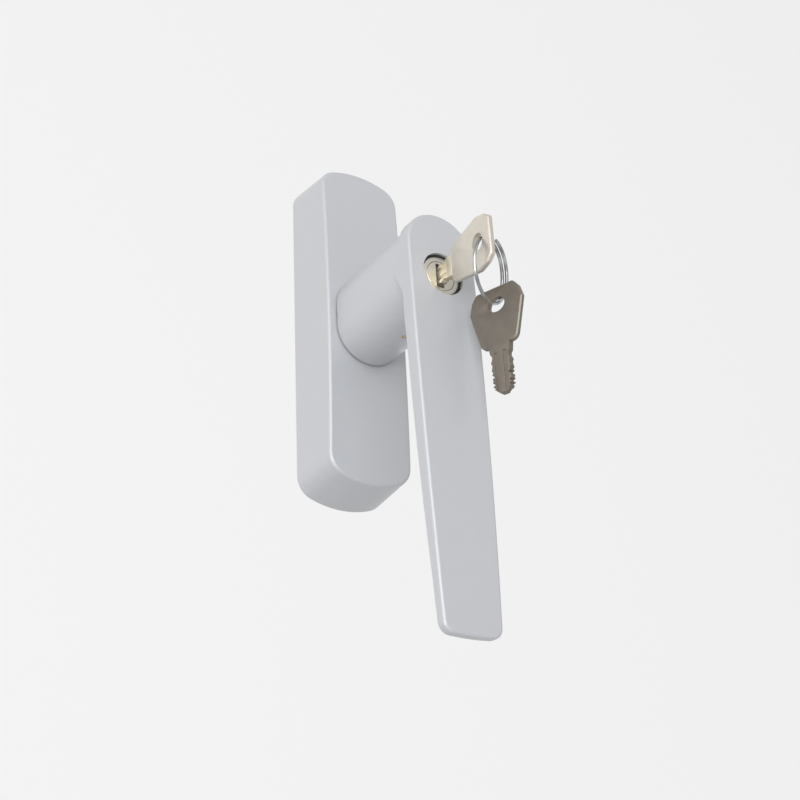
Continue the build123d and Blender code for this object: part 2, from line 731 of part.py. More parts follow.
# Lever handle: neck, head and blade as one casting, bored for the lock, the spindle and the bolt
underside_z = neck_low_z - neck_half_w
with BuildPart() as lever_handle:
    extrude(lever_outline(face_plane(neck_depth)), amount=lever_front_tip - neck_depth + through)
    extrude(lever_profile(side_plane()), amount=head_half_w + through, both=True, mode=Mode.INTERSECT)
    fillet(lever_handle.faces().sort_by(Axis.Y)[0].edges(), lever_front_fillet)
    extrude(neck_outline(face_plane(neck_depth)), amount=neck_length + sink_in)
    add(neck_root.part)
    backs = lever_handle.faces().filter_by(lambda face: face.normal_at().Y > 0.9)
    blade_back = backs.filter_by(lambda face: face.center().Z < underside_z).sort_by(SortBy.AREA)[-1]
    below_root = underside_z - neck_fillet - through
    fillet(blade_back.edges().filter_by(lambda edge: edge.center().Z < below_root), lever_back_fillet)
    rod(cavity_back_depth, lever_front_tip + through, lock_bore_r, 0, lock_z, Mode.SUBTRACT)
    with BuildSketch(face_plane(neck_depth - through)) as socket:
        Rectangle(spindle_side + 2 * spindle_fit, spindle_side + 2 * spindle_fit)
    extrude(socket.sketch, amount=spindle_socket_length + through, mode=Mode.SUBTRACT)
    rod(neck_depth, cavity_back_depth, spindle_screw_r + screw_hole_gap, mode=Mode.SUBTRACT)
    head_hole_r = spindle_screw_head_r + screw_hole_gap
    rod(screw_seat_depth, cavity_back_depth + through, head_hole_r, mode=Mode.SUBTRACT)
    rod(neck_depth - through, cavity_back_depth, bolt_r + bolt_fit, 0, bolt_z, Mode.SUBTRACT)
    rod(bolt_pocket_depth, cavity_back_depth + through, bolt_pocket_r, 0, bolt_z, Mode.SUBTRACT)
    rod(neck_depth - through, detent_bore_depth, detent_ball_r + detent_fit, 0, detent_z, Mode.SUBTRACT)
    with BuildSketch(Plane(origin=(0, -catch_pin_depth, underside_z - through), z_dir=(0, 0, 1))) as pin_hole:
        Circle(catch_pin_r + journal_fit)
    extrude(pin_hole.sketch, amount=lock_z - underside_z, mode=Mode.SUBTRACT)
lever_handle.part.label = "lever_handle"
export_step(lever_handle.part, "parts/lever_handle.step")

# Spindle, its cross pin, screw and washer
with BuildPart() as spindle:
    with BuildSketch(face_plane(spindle_back_depth)):
        Rectangle(spindle_side, spindle_side)
    extrude(amount=spindle_socket_depth - spindle_back_depth)
    chamfer(spindle.faces().sort_by(Axis.Y)[0].edges(), spindle_chamfer)
    screw_tip_depth = screw_seat_depth - spindle_screw_length
    rod(screw_tip_depth, spindle_socket_depth + through, spindle_screw_r, mode=Mode.SUBTRACT)
    with BuildSketch(side_plane()) as pin_hole:
        with Locations((-cross_pin_depth, 0)):
            Circle(cross_pin_r)
    extrude(pin_hole.sketch, amount=spindle_side, both=True, mode=Mode.SUBTRACT)
spindle.part.label = "spindle"
export_step(spindle.part, "parts/spindle.step")

with BuildPart() as spindle_cross_pin:
    with BuildSketch(side_plane()) as pin_section:
        with Locations((-cross_pin_depth, 0)):
            Circle(cross_pin_r)
    extrude(pin_section.sketch, amount=hub_r - cross_pin_end_gap, both=True)
spindle_cross_pin.part.label = "spindle_cross_pin"
export_step(spindle_cross_pin.part, "parts/spindle_cross_pin.step")

with BuildPart() as spindle_washer:
    rod(screw_seat_depth, screw_seat_depth + washer_t, spindle_screw_head_r)
    washer_hole_r = spindle_screw_r + screw_hole_gap
    rod(screw_seat_depth - through, head_seat_depth + through, washer_hole_r, mode=Mode.SUBTRACT)
spindle_washer.part.label = "spindle_washer"
export_step(spindle_washer.part, "parts/spindle_washer.step")

with BuildPart() as spindle_screw:
    rod(screw_tip_depth, head_seat_depth, spindle_screw_r)
    rod(head_seat_depth, head_seat_depth + spindle_screw_head_h, spindle_screw_head_r)
    with BuildSketch(face_plane(head_seat_depth + spindle_screw_head_h)) as hexagon:
        RegularPolygon(hex_socket / 2, 6, major_radius=False)
    extrude(hexagon.sketch, amount=-hex_socket_depth, mode=Mode.SUBTRACT)
spindle_screw.part.label = "spindle_screw"
export_step(spindle_screw.part, "parts/spindle_screw.step")

# Pinion: involute teeth, a solid rear journal and a hub through the front bush
base_r = pitch_r * math.cos(math.radians(pressure_angle))


def involute_point(radius, mirror):
    """A point of a tooth's flank at a radius; the tooth is centred on +X."""
    def spread(r):
        slope = math.acos(base_r / r)
        return math.tan(slope) - slope

    half_tooth = math.pi / (2 * pinion_teeth) + spread(pitch_r) - spread(radius)
    return (radius * math.cos(half_tooth), mirror * radius * math.sin(half_tooth))


with BuildPart() as pinion:
    with BuildSketch(face_plane(pinion_back_depth)):
        Circle(root_r)
        with PolarLocations(0, pinion_teeth):
            with BuildSketch(mode=Mode.PRIVATE) as tooth:
                with BuildLine():
                    low = [involute_point(r, -1) for r in (base_r, pitch_r, outer_r)]
                    high = [involute_point(r, 1) for r in (base_r, pitch_r, outer_r)]
                    foot = (root_r - tooth_foot_sink) / base_r
                    high_foot = (high[0][0] * foot, high[0][1] * foot)
                    low_foot = (low[0][0] * foot, low[0][1] * foot)
                    Polyline(high[0], high_foot, low_foot, low[0])
                    ThreePointArc(*low)
                    ThreePointArc(low[2], (outer_r, 0), high[2])
                    ThreePointArc(*reversed(high))
                make_face()
            add(tooth.sketch)
    extrude(amount=pinion_width)
    rod(rear_journal_depth, pinion_back_depth, rear_journal_r)
    rod(pinion_back_depth + pinion_width, neck_depth - hub_gap, hub_r)
    with BuildSketch(face_plane(spindle_back_depth - journal_fit)) as bore:
        Rectangle(spindle_side + 2 * spindle_fit, spindle_side + 2 * spindle_fit)
    extrude(bore.sketch, amount=neck_depth, mode=Mode.SUBTRACT)
    with BuildSketch(side_plane()) as pin_hole:
        with Locations((-cross_pin_depth, 0)):
            Circle(cross_pin_r)
    extrude(pin_hole.sketch, amount=hub_r + through, both=True, mode=Mode.SUBTRACT)
pinion.part.label = "pinion"
export_step(pinion.part, "parts/pinion.step")

# Racks and drive pins
with BuildPart() as right_rack:
    add(rack(1))
right_rack.part.label = "right_rack"
export_step(right_rack.part, "parts/right_rack.step")

with BuildPart() as left_rack:
    add(rack(-1))
left_rack.part.label = "left_rack"
export_step(left_rack.part, "parts/left_rack.step")

with BuildPart() as upper_drive_pin:
    add(drive_pin(-1))
upper_drive_pin.part.label = "upper_drive_pin"
export_step(upper_drive_pin.part, "parts/upper_drive_pin.step")

with BuildPart() as lower_drive_pin:
    add(drive_pin(1))
lower_drive_pin.part.label = "lower_drive_pin"
export_step(lower_drive_pin.part, "parts/lower_drive_pin.step")


# Detent ball and spring in the neck
ball_depth = disc_front_depth + detent_gap + detent_ball_r
with BuildPart() as detent_ball:
    with Locations((0, -ball_depth, detent_z)):
        Sphere(detent_ball_r)
detent_ball.part.label = "detent_ball"
export_step(detent_ball.part, "parts/detent_ball.step")

detent_spring_near = ball_depth + detent_ball_r + spring_end_gap + detent_spring_wire_r
detent_spring_far = detent_bore_depth - spring_end_gap - detent_spring_wire_r
with BuildPart() as detent_spring:
    add(
        coil(
            face_plane((detent_spring_near + detent_spring_far) / 2, 0, detent_z),
            detent_spring_r,
            detent_spring_wire_r,
            (detent_spring_far - detent_spring_near) / detent_spring_turns,
            0,
            360 * detent_spring_turns,
        )
    )
detent_spring.part.label = "detent_spring"
export_step(detent_spring.part, "parts/detent_spring.step")

# Lock cylinder: a body pinned in the head, with a bore for the plug
catch_pin_top_z = lock_z - cylinder_r + catch_pin_bite
wafer_depths = [key_shoulder_depth - cut_first_u - index * cut_pitch for index in range(len(cut_depths))]
with BuildPart() as lock_cylinder_body:
    rod(cylinder_back_depth, cylinder_neck_depth, cylinder_r, 0, lock_z)
    rod(cylinder_neck_depth, lock_face_depth, cylinder_face_r, 0, lock_z)
    chamfer(lock_cylinder_body.faces().sort_by(Axis.Y)[0].edges(), lock_face_chamfer)
    rod(cylinder_back_depth - through, lock_face_depth + through, plug_r + plug_fit, 0, lock_z, Mode.SUBTRACT)
    flange_seat_depth = lock_face_depth - plug_flange_t - plug_fit
    flange_hole_r = plug_flange_r + plug_flange_gap
    rod(flange_seat_depth, lock_face_depth + through, flange_hole_r, 0, lock_z, Mode.SUBTRACT)
    chamber_z = (lock_z - plug_r - chamber_past_plug, lock_z + plug_r + chamber_past_plug)
    chamber_x = (-wafer_half_w - wafer_fit, wafer_half_w + wafer_fit)
    block(wafer_depths[-1] - wafer_t, wafer_depths[0] + wafer_t, chamber_x, chamber_z, Mode.SUBTRACT)
    with BuildSketch(Plane(origin=(0, -catch_pin_depth, underside_z), z_dir=(0, 0, 1))) as pin_hole:
        Circle(catch_pin_r + journal_fit)
    extrude(pin_hole.sketch, amount=catch_pin_top_z - underside_z, mode=Mode.SUBTRACT)
lock_cylinder_body.part.label = "lock_cylinder_body"
export_step(lock_cylinder_body.part, "parts/lock_cylinder_body.step")

catch_pin_low_z = underside_z + catch_pin_end_gap
with BuildPart() as cylinder_catch_pin:
    with BuildSketch(Plane(origin=(0, -catch_pin_depth, catch_pin_low_z), z_dir=(0, 0, 1))):
        Circle(catch_pin_r)
    extrude(amount=catch_pin_top_z - catch_pin_end_gap - catch_pin_low_z)
    chamfer(cylinder_catch_pin.faces().sort_by(Axis.Z)[0].edges(), catch_pin_chamfer)
cylinder_catch_pin.part.label = "cylinder_catch_pin"
export_step(cylinder_catch_pin.part, "parts/cylinder_catch_pin.step")

# Plug: keyway with wards, crosswise slots for the wafers, and a tongue for the cam
keyway_back_depth = key_shoulder_depth - blade_length - blade_end_gap
keyway_half_w = blade_t / 2 + blade_fit
keyway_half_h = blade_half_w + blade_fit
ward_w = blade_groove_w - 3 * blade_fit
with BuildPart() as lock_plug:
    rod(plug_body_depth, lock_face_depth, plug_r, 0, lock_z)
    rod(lock_face_depth - plug_flange_t, lock_face_depth, plug_flange_r, 0, lock_z)
    chamfer(lock_plug.faces().sort_by(Axis.Y)[0].edges(), plug_chamfer)
    rod(cam_base_depth, plug_body_depth, plug_tail_r, 0, lock_z)
    tongue_z = (lock_z - cam_tongue_w / 2, lock_z + cam_tongue_w / 2)
    block(cam_base_depth - cam_tongue_t, cam_base_depth, (-cam_tongue_l / 2, cam_tongue_l / 2), tongue_z)
    cam_screw_seat_depth = cam_base_depth - cam_screw_seat
    cam_screw_tip_depth = cam_screw_seat_depth + cam_screw_length
    rod(cam_base_depth - cam_tongue_t - through, cam_screw_tip_depth, cam_screw_r, 0, lock_z, Mode.SUBTRACT)
    with BuildSketch(face_plane(keyway_back_depth, 0, lock_z)) as keyway:
        Rectangle(2 * keyway_half_w, 2 * keyway_half_h)
        ward_x = keyway_half_w - blade_groove_depth / 2 + blade_fit
        with Locations(*[(x, v) for x in (-ward_x, ward_x) for v in (-blade_groove_v, blade_groove_v)]):
            Rectangle(blade_groove_depth, ward_w, mode=Mode.SUBTRACT)
    extrude(keyway.sketch, amount=lock_face_depth - keyway_back_depth + through, mode=Mode.SUBTRACT)
    mouth_x = (-keyway_half_w - keyway_mouth_side, keyway_half_w)
    mouth_half_h = keyway_half_h + keyway_mouth_ends
    mouth_z = (lock_z - mouth_half_h, lock_z + mouth_half_h)
    block(lock_face_depth - keyway_mouth_depth, lock_face_depth + through, mouth_x, mouth_z, Mode.SUBTRACT)
    for depth in wafer_depths:
        slot_span = (depth - wafer_t / 2 - wafer_fit / 2, depth + wafer_t / 2 + wafer_fit / 2)
        slot_x = (-wafer_half_w - wafer_fit, wafer_half_w + wafer_fit)
        block(*slot_span, slot_x, (lock_z - plug_r, lock_z + plug_r), Mode.SUBTRACT)
        ear_x = (0, wafer_half_w + wafer_ear_w + wafer_fit)
        ear_z = (lock_z + wafer_ear_low - wafer_fit, lock_z + wafer_spring_top + wafer_fit)
        block(*slot_span, ear_x, ear_z, Mode.SUBTRACT)
lock_plug.part.label = "lock_plug"
export_step(lock_plug.part, "parts/lock_plug.step")

# Wafers with a window for the key and an ear for the spring
with BuildPart() as wafers:
    for depth in wafer_depths:
        with BuildSketch(face_plane(depth - wafer_t / 2, 0, lock_z)) as wafer:
            Rectangle(2 * wafer_half_w, 2 * wafer_half_h)
            Circle(plug_r - wafer_fit, mode=Mode.INTERSECT)
            with Locations((wafer_half_w + wafer_ear_w / 2, (wafer_ear_low + wafer_ear_high) / 2)):
                Rectangle(wafer_ear_w, wafer_ear_high - wafer_ear_low)
            Rectangle(2 * keyway_half_w, 2 * keyway_half_h, mode=Mode.SUBTRACT)
        extrude(wafer.sketch, amount=wafer_t)
wafers.part.label = "wafers"
export_step(wafers.part, "parts/wafers.step")

with BuildPart() as wafer_springs:
    for depth in wafer_depths:
        spring_foot = (wafer_half_w + wafer_ear_w / 2, -depth, lock_z + wafer_ear_high)
        with BuildSketch(Plane(origin=spring_foot, z_dir=(0, 0, 1))) as wafer_spring:
            Circle(wafer_spring_r)
            Circle(wafer_spring_bore_r, mode=Mode.SUBTRACT)
        extrude(wafer_spring.sketch, amount=wafer_spring_top - wafer_ear_high)
wafer_springs.part.label = "wafer_springs"
export_step(wafer_springs.part, "parts/wafer_springs.step")

# Cam: a disc whose back face slants, so that turning it pushes the bolt out
key_turn_half = math.radians(key_turn_range / 2)
cam_face = Plane(
    origin=(0, -cam_centre_depth, lock_z),
    z_dir=(-cam_slope * math.sin(key_turn_half), 1, -cam_slope * math.cos(key_turn_half)),
)
with BuildPart() as lock_cam:
    cam_tip_depth = cam_centre_depth - cam_r
    rod(cam_tip_depth, cam_base_depth, cam_r, 0, lock_z)
    split(bisect_by=cam_face, keep=Keep.BOTTOM)
    rod(cam_tip_depth, cam_base_depth + through, cam_screw_r + screw_hole_gap, 0, lock_z, Mode.SUBTRACT)
    rod(cam_tip_depth, cam_screw_seat_depth, cam_screw_head_r + screw_hole_gap, 0, lock_z, Mode.SUBTRACT)
    tongue_slot_x = (-cam_tongue_l / 2 - cam_tongue_gap, cam_tongue_l / 2 + cam_tongue_gap)
    tongue_slot_z = (tongue_z[0] - cam_tongue_gap, tongue_z[1] + cam_tongue_gap)
    tongue_slot_depth = cam_base_depth - cam_tongue_t - cam_tongue_gap
    block(tongue_slot_depth, cam_base_depth + through, tongue_slot_x, tongue_slot_z, Mode.SUBTRACT)
lock_cam.part.label = "lock_cam"
export_step(lock_cam.part, "parts/lock_cam.step")

with BuildPart() as cam_screw:
    cam_screw_top_depth = cam_screw_seat_depth - cam_screw_head_h
    rod(cam_screw_top_depth, cam_screw_seat_depth, cam_screw_head_r, 0, lock_z)
    rod(cam_screw_seat_depth, cam_screw_tip_depth, cam_screw_r, 0, lock_z)
    slot_x = (-cam_screw_head_r, cam_screw_head_r)
    slot_z = (lock_z - cam_screw_slot_w / 2, lock_z + cam_screw_slot_w / 2)
    block(cam_screw_top_depth, cam_screw_top_depth + cam_screw_slot_w, slot_x, slot_z, Mode.SUBTRACT)
cam_screw.part.label = "cam_screw"
export_step(cam_screw.part, "parts/cam_screw.step")

# Locking bolt: its dome rides on the cam's slanted face
cam_rise = bolt_arm * cam_slope * math.cos(key_turn_half)
dome_depth = cam_centre_depth + cam_rise - (bolt_dome_r + cam_gap) / math.cos(math.radians(cam_angle))
with BuildPart() as locking_bolt:
    rod(neck_depth + bolt_rest_recess, dome_depth, bolt_r, 0, bolt_z)
    chamfer(locking_bolt.faces().sort_by(Axis.Y)[-1].edges(), bolt_chamfer)
    rod(bolt_collar_depth, bolt_collar_depth + bolt_collar_t, bolt_collar_r, 0, bolt_z)
    rod(bolt_collar_depth, dome_depth, bolt_dome_r, 0, bolt_z)
    with Locations((0, -dome_depth, bolt_z)):
        Sphere(bolt_dome_r)
locking_bolt.part.label = "locking_bolt"
export_step(locking_bolt.part, "parts/locking_bolt.step")

bolt_spring_near = bolt_pocket_depth + spring_end_gap + bolt_spring_wire_r
bolt_spring_far = bolt_collar_depth - bolt_travel - spring_end_gap - bolt_spring_wire_r
with BuildPart() as bolt_spring:
    add(
        coil(
            face_plane((bolt_spring_near + bolt_spring_far) / 2, 0, bolt_z),
            bolt_spring_r,
            bolt_spring_wire_r,
            (bolt_spring_far - bolt_spring_near) / bolt_spring_turns,
            0,
            360 * bolt_spring_turns,
        )
    )
bolt_spring.part.label = "bolt_spring"
export_step(bolt_spring.part, "parts/bolt_spring.step")

# Keys and ring: the ring leans through the first key's hole, and the spare key hangs on it
key_plane = Plane(origin=(0, -key_shoulder_depth, lock_z), x_dir=(0, -1, 0), z_dir=(-1, 0, 0))
with BuildPart() as key_in_lock:
    add(key(key_plane))
key_in_lock.part.label = "key_in_lock"
export_step(key_in_lock.part, "parts/key_in_lock.step")

yaw = math.radians(ring_yaw)
lean = math.radians(ring_lean)
ring_across = Vector(math.cos(yaw), math.sin(yaw), 0)
ring_normal = Vector(math.sin(yaw) * math.cos(lean), -math.cos(yaw) * math.cos(lean), math.sin(lean))
ring_up = ring_normal.cross(ring_across)
ring_middle_angle = (ring_start_angle + ring_end_angle) / 2


def from_ring_centre(angle):
    """The wire's centre line at an angle, measured from the ring's centre."""
    turn = math.radians(angle)
    rise = ring_pitch * (angle - ring_middle_angle) / 360
    return ring_across * (ring_r * math.cos(turn)) + ring_up * (ring_r * math.sin(turn)) + ring_normal * rise


ring_hang_y = -(key_shoulder_depth + key_hole_u + ring_cross_beyond)
ring_hang_point = Vector(0, ring_hang_y, lock_z + key_hole_v + ring_cross_above)
ring_centre = ring_hang_point - from_ring_centre(ring_cross_angle)
ring_plane = Plane(origin=ring_centre, x_dir=ring_across, z_dir=ring_normal)
with BuildPart() as split_ring:
    add(coil(ring_plane, ring_r, ring_wire_r, ring_pitch, ring_start_angle, ring_end_angle))
split_ring.part.label = "split_ring"
export_step(split_ring.part, "parts/split_ring.step")

spare_hang_point = ring_centre + from_ring_centre(360 + spare_ring_angle)
spare_across = Vector(math.cos(math.radians(spare_yaw)), math.sin(math.radians(spare_yaw)), 0)
spare_hole_z = spare_hang_point.Z + ring_wire_r + spare_rim_gap - key_hole_half_u
spare_hole = Vector(spare_hang_point.X, spare_hang_point.Y, spare_hole_z)
spare_shoulder = spare_hole - Vector(0, 0, key_hole_u) - spare_across * key_hole_v
spare_plane = Plane(origin=spare_shoulder, x_dir=(0, 0, 1), z_dir=Vector(0, 0, 1).cross(spare_across))
with BuildPart() as spare_key:
    add(key(spare_plane))
spare_key.part.label = "spare_key"
export_step(spare_key.part, "parts/spare_key.step")
print("ring hangs at", ring_hang_point, "with its centre at", ring_centre)
print("spare key hangs at", spare_hang_point, "with its normal along", spare_plane.z_dir)
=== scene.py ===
"""The looks of a locking window handle: silver paint, turned nickel, two keys and a split ring."""

import logging
import math
from dataclasses import dataclass
from enum import Enum
from typing import Callable, Sequence

import bmesh
import bpy
from mathutils import Matrix, Vector

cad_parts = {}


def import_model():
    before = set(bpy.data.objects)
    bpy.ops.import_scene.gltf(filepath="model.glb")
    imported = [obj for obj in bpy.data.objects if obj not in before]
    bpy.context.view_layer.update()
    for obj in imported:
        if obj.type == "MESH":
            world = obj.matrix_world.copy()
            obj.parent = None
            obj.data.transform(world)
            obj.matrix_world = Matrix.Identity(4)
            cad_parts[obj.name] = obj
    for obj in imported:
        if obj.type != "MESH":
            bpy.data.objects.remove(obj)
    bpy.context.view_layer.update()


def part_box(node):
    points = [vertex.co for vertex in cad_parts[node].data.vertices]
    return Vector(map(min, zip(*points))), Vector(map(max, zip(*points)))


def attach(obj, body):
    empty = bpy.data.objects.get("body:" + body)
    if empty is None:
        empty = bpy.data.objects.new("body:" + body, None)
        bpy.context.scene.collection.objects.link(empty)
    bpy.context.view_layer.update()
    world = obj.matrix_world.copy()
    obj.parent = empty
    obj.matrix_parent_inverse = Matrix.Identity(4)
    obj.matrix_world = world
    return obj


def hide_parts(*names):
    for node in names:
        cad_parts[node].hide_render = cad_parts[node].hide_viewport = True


log = logging.getLogger("window_handle")

MM = 0.001
CREASE = math.radians(40)  # edges that turn by more than this stay sharp
WELD = 2e-6  # corners nearer than this are one corner
NEAR = 0.01  # the studio sheet's corners are found to this
RING_SCALE = 0.05 * math.tau  # a ring pattern's scale times its pitch
MIX_SHARE, MIX_BELOW, MIX_ABOVE = 0, 6, 7  # a colour mix's inputs
MIX_COLOUR = 2  # and its output

Point = tuple[float, float]
Triple = tuple[float, float, float]
Colour = tuple[float, float, float]


class Kind(Enum):
    """What a selection is made of in edit mode."""

    CORNERS = "verts"
    EDGES = "edges"
    FACES = "faces"


class Step(Enum):
    """How one piece is joined with another."""

    CUT = "DIFFERENCE"
    WELD = "UNION"


def grey(level: float) -> Colour:
    """A grey of the given level."""
    return (level, level, level)


def times(colour: Colour, factor: float) -> Colour:
    """A colour made lighter or darker by a factor."""
    return tuple(factor * channel for channel in colour)


class Surface:
    """One material: its shader, and short ways to add and join the nodes that feed it."""

    def __init__(self, name: str, centre: Triple = (0, 0, 0)) -> None:
        """Start a material whose patterns sit round a place.

        Args:
            name: the material's name.
            centre: where the patterns are centred, in metres.
        """
        self.material = bpy.data.materials.new(name)
        self.material.use_nodes = True
        self.tree = self.material.node_tree
        self.tree.nodes.clear()
        output = self.node("ShaderNodeOutputMaterial")
        self.shader = self.node("ShaderNodeBsdfPrincipled")
        self.join(self.shader.outputs["BSDF"], output.inputs["Surface"])
        coordinates = self.node("ShaderNodeTexCoord")
        mapping = self.node("ShaderNodeMapping", vector_type="TEXTURE")
        mapping.inputs["Location"].default_value = centre
        self.join(coordinates.outputs["Object"], mapping.inputs["Vector"])
        self.place = mapping.outputs["Vector"]
        self.relief = None

    def node(self, kind: str, **settings: object) -> bpy.types.Node:
        """Add a node.

        Args:
            kind: the node's type.
            settings: the node's own settings by name.

        Returns:
            The node.
        """
        made = self.tree.nodes.new(kind)
        for name, value in settings.items():
            setattr(made, name, value)
        return made

    def join(self, source: bpy.types.NodeSocket, target: bpy.types.NodeSocket) -> None:
        """Join one socket to another."""
        self.tree.links.new(source, target)

    def sets(self, **values: object) -> None:
        """Set the shader's own sockets.

        Args:
            values: the sockets' values by name, with underscores for spaces.
        """
        for name, value in values.items():
            socket = self.shader.inputs[name.replace("_", " ")]
            socket.default_value = (*value, 1.0) if isinstance(value, tuple) and len(value) == 3 else value

    def stretched(self, stretch: Triple) -> bpy.types.NodeSocket:
        """The pattern's place, finer along each axis by its factor.

        Args:
            stretch: a factor for each axis.

        Returns:
            The place socket.
        """
        mapping = self.node("ShaderNodeMapping", vector_type="POINT")
        mapping.inputs["Scale"].default_value = stretch
        self.join(self.place, mapping.inputs["Vector"])
        return mapping.outputs["Vector"]

    def noise(self, size: float, detail: float = 3.0, stretch: Triple = (1, 1, 1)) -> bpy.types.NodeSocket:
        """A soft noise.

        Args:
            size: the size of its blotches, in metres.
            detail: how many finer layers it has.
            stretch: a factor for each axis.

        Returns:
            Its height, 0 to 1.
        """
        grain = self.node("ShaderNodeTexNoise")
        grain.inputs["Scale"].default_value = 1 / size
        grain.inputs["Detail"].default_value = detail
        self.join(self.stretched(stretch), grain.inputs["Vector"])
        return grain.outputs[0]

    def flakes(self, size: float) -> bpy.types.NodeSocket:
        """Small cells, each with its own value, as metal flakes have in paint.

        Args:
            size: the width of a flake, in metres.

        Returns:
            Each flake's colour.
        """
        cells = self.node("ShaderNodeTexVoronoi")
        cells.inputs["Scale"].default_value = 1 / size
        self.join(self.place, cells.inputs["Vector"])
        return cells.outputs["Color"]

    def rings(self, pitch: float, wander: float) -> bpy.types.NodeSocket:
        """The fine rings that turning leaves round the axis from front to back.

        Args:
            pitch: from ring to ring, in metres.
            wander: how uneven they are.

        Returns:
            Their height, 0 to 1.
        """
        wave = self.node("ShaderNodeTexWave", wave_type="RINGS", rings_direction="Y")
        wave.inputs["Scale"].default_value = RING_SCALE / pitch
        wave.inputs["Distortion"].default_value = wander
        wave.inputs["Detail"].default_value = 2.0
        self.join(self.place, wave.inputs["Vector"])
        return wave.outputs["Fac"]

    def levels(
        self, source: bpy.types.NodeSocket, low: float, high: float, inner: Point = (0, 1)
    ) -> bpy.types.NodeSocket:
        """Spread a value between two levels.

        Args:
            source: the value.
            low: the level where the value is at the start of the inner range.
            high: the level at its end.
            inner: the range of the value that is spread.

        Returns:
            The spread value.
        """
        spread = self.node("ShaderNodeMapRange")
        spread.inputs["From Min"].default_value = inner[0]
        spread.inputs["From Max"].default_value = inner[1]
        spread.inputs["To Min"].default_value = low
        spread.inputs["To Max"].default_value = high
        self.join(source, spread.inputs["Value"])
        return spread.outputs["Result"]

    def shades(
        self, source: bpy.types.NodeSocket, stops: Sequence[tuple[float, Colour]]
    ) -> bpy.types.NodeSocket:
        """Colour a value.

        Args:
            source: the value.
            stops: pairs of a value and its colour.

        Returns:
            The colour.
        """
        ramp = self.node("ShaderNodeValToRGB")
        band = ramp.color_ramp
        while len(band.elements) < len(stops):
            band.elements.new(0.5)
        for element, (place, colour) in zip(band.elements, stops):
            element.position = place
            element.color = (*colour, 1.0)
        self.join(source, ramp.inputs["Fac"])
        return ramp.outputs["Color"]

    def over(
        self, below: bpy.types.NodeSocket, above: bpy.types.NodeSocket, share: bpy.types.NodeSocket
    ) -> bpy.types.NodeSocket:
        """Lay one colour over another.

        Args:
            below: the colour below.
            above: the colour above.
            share: how much of the colour above shows.

        Returns:
            The colour.
        """
        mix = self.node("ShaderNodeMix", data_type="RGBA")
        self.join(share, mix.inputs[MIX_SHARE])
        self.join(below, mix.inputs[MIX_BELOW])
        self.join(above, mix.inputs[MIX_ABOVE])
        return mix.outputs[MIX_COLOUR]

    def bump(self, height: bpy.types.NodeSocket, depth: float, strength: float = 1.0) -> None:
        """Raise the surface by a height, over what raises it already.

        Args:
            height: the height, 0 to 1.
            depth: how far 1 stands above 0, in metres.
            strength: how much of it shows.
        """
        bump = self.node("ShaderNodeBump")
        bump.inputs["Strength"].default_value = strength
        bump.inputs["Distance"].default_value = depth
        self.join(height, bump.inputs["Height"])
        if self.relief is not None:
            self.join(self.relief, bump.inputs["Normal"])
        self.relief = bump.outputs["Normal"]

    def done(self, **links: bpy.types.NodeSocket) -> bpy.types.Material:
        """Join the last sockets to the shader.

        Args:
            links: the shader's sockets by name, with underscores for spaces.

        Returns:
            The material.
        """
        for name, source in links.items():
            self.join(source, self.shader.inputs[name.replace("_", " ")])
        if self.relief is not None:
            self.join(self.relief, self.shader.inputs["Normal"])
        return self.material


@dataclass(frozen=True)
class SilverPaint:
    """Baked silver paint: fine metal flake under a satin skin with a faint orange peel."""

    name: str = "silver_paint"
    base: Colour = (0.511, 0.523, 0.548)
    drift: float = 0.03
    clump: float = 0.0006
    flake: float = 0.00011
    peel: float = 0.0016
    haze: float = 0.008
    rough: Point = (0.40, 0.50)

    def material(self) -> bpy.types.Material:
        """Mix the paint.

        Returns:
            The material.
        """
        paint = Surface(self.name)
        paint.sets(Metallic=0.24, IOR=1.5, Coat_Weight=0.45, Coat_Roughness=0.17)
        drift = paint.shades(
            paint.noise(self.drift, 2.0), [(0.3, times(self.base, 0.975)), (0.7, self.base)]
        )
        glint = paint.shades(
            paint.flakes(self.flake), [(0.35, times(self.base, 0.93)), (1.0, times(self.base, 1.1))]
        )
        colour = paint.over(drift, glint, paint.levels(paint.noise(self.clump, 1.0), 0.25, 0.75))
        paint.bump(paint.noise(self.peel, 2.0), 0.000012, 0.5)
        paint.bump(paint.flakes(self.flake), 0.000003, 0.25)
        rough = paint.levels(paint.noise(self.haze, 4.0), *self.rough)
        return paint.done(Base_Color=colour, Roughness=rough)


@dataclass(frozen=True)
class TurnedNickel:
    """Satin nickel faced on a lathe, its fine rings round the lock's axis."""

    name: str
    axis_x: float
    axis_z: float
    base: Colour = (0.72, 0.68, 0.61)
    stain: Colour = (0.60, 0.53, 0.42)
    pitch: float = 0.00032
    stain_size: float = 0.0022
    patch: float = 0.004
    scratch: float = 0.0011
    haze: float = 0.0008
    rough: Point = (0.36, 0.50)

    def material(self) -> bpy.types.Material:
        """Plate the metal.

        Returns:
            The material.
        """
        plate = Surface(self.name, centre=(self.axis_x, 0, self.axis_z))
        plate.sets(Metallic=1.0, Anisotropic=0.35)
        rings = plate.rings(self.pitch, wander=0.4)
        tone = plate.shades(rings, [(0.2, times(self.base, 0.93)), (0.8, self.base)])
        stain = plate.shades(plate.noise(self.stain_size, 5.0), [(0.42, self.stain), (0.62, self.base)])
        share = plate.levels(plate.noise(self.patch, 2.0), 0.0, 0.35, (0.4, 0.7))
        colour = plate.over(tone, stain, share)
        plate.bump(rings, 0.0000035, 0.6)
        plate.bump(plate.noise(self.scratch, 3.0, (1, 6, 1)), 0.000004, 0.4)
        rough = plate.levels(plate.noise(self.haze, 4.0), *self.rough)
        return plate.done(Base_Color=colour, Roughness=rough)


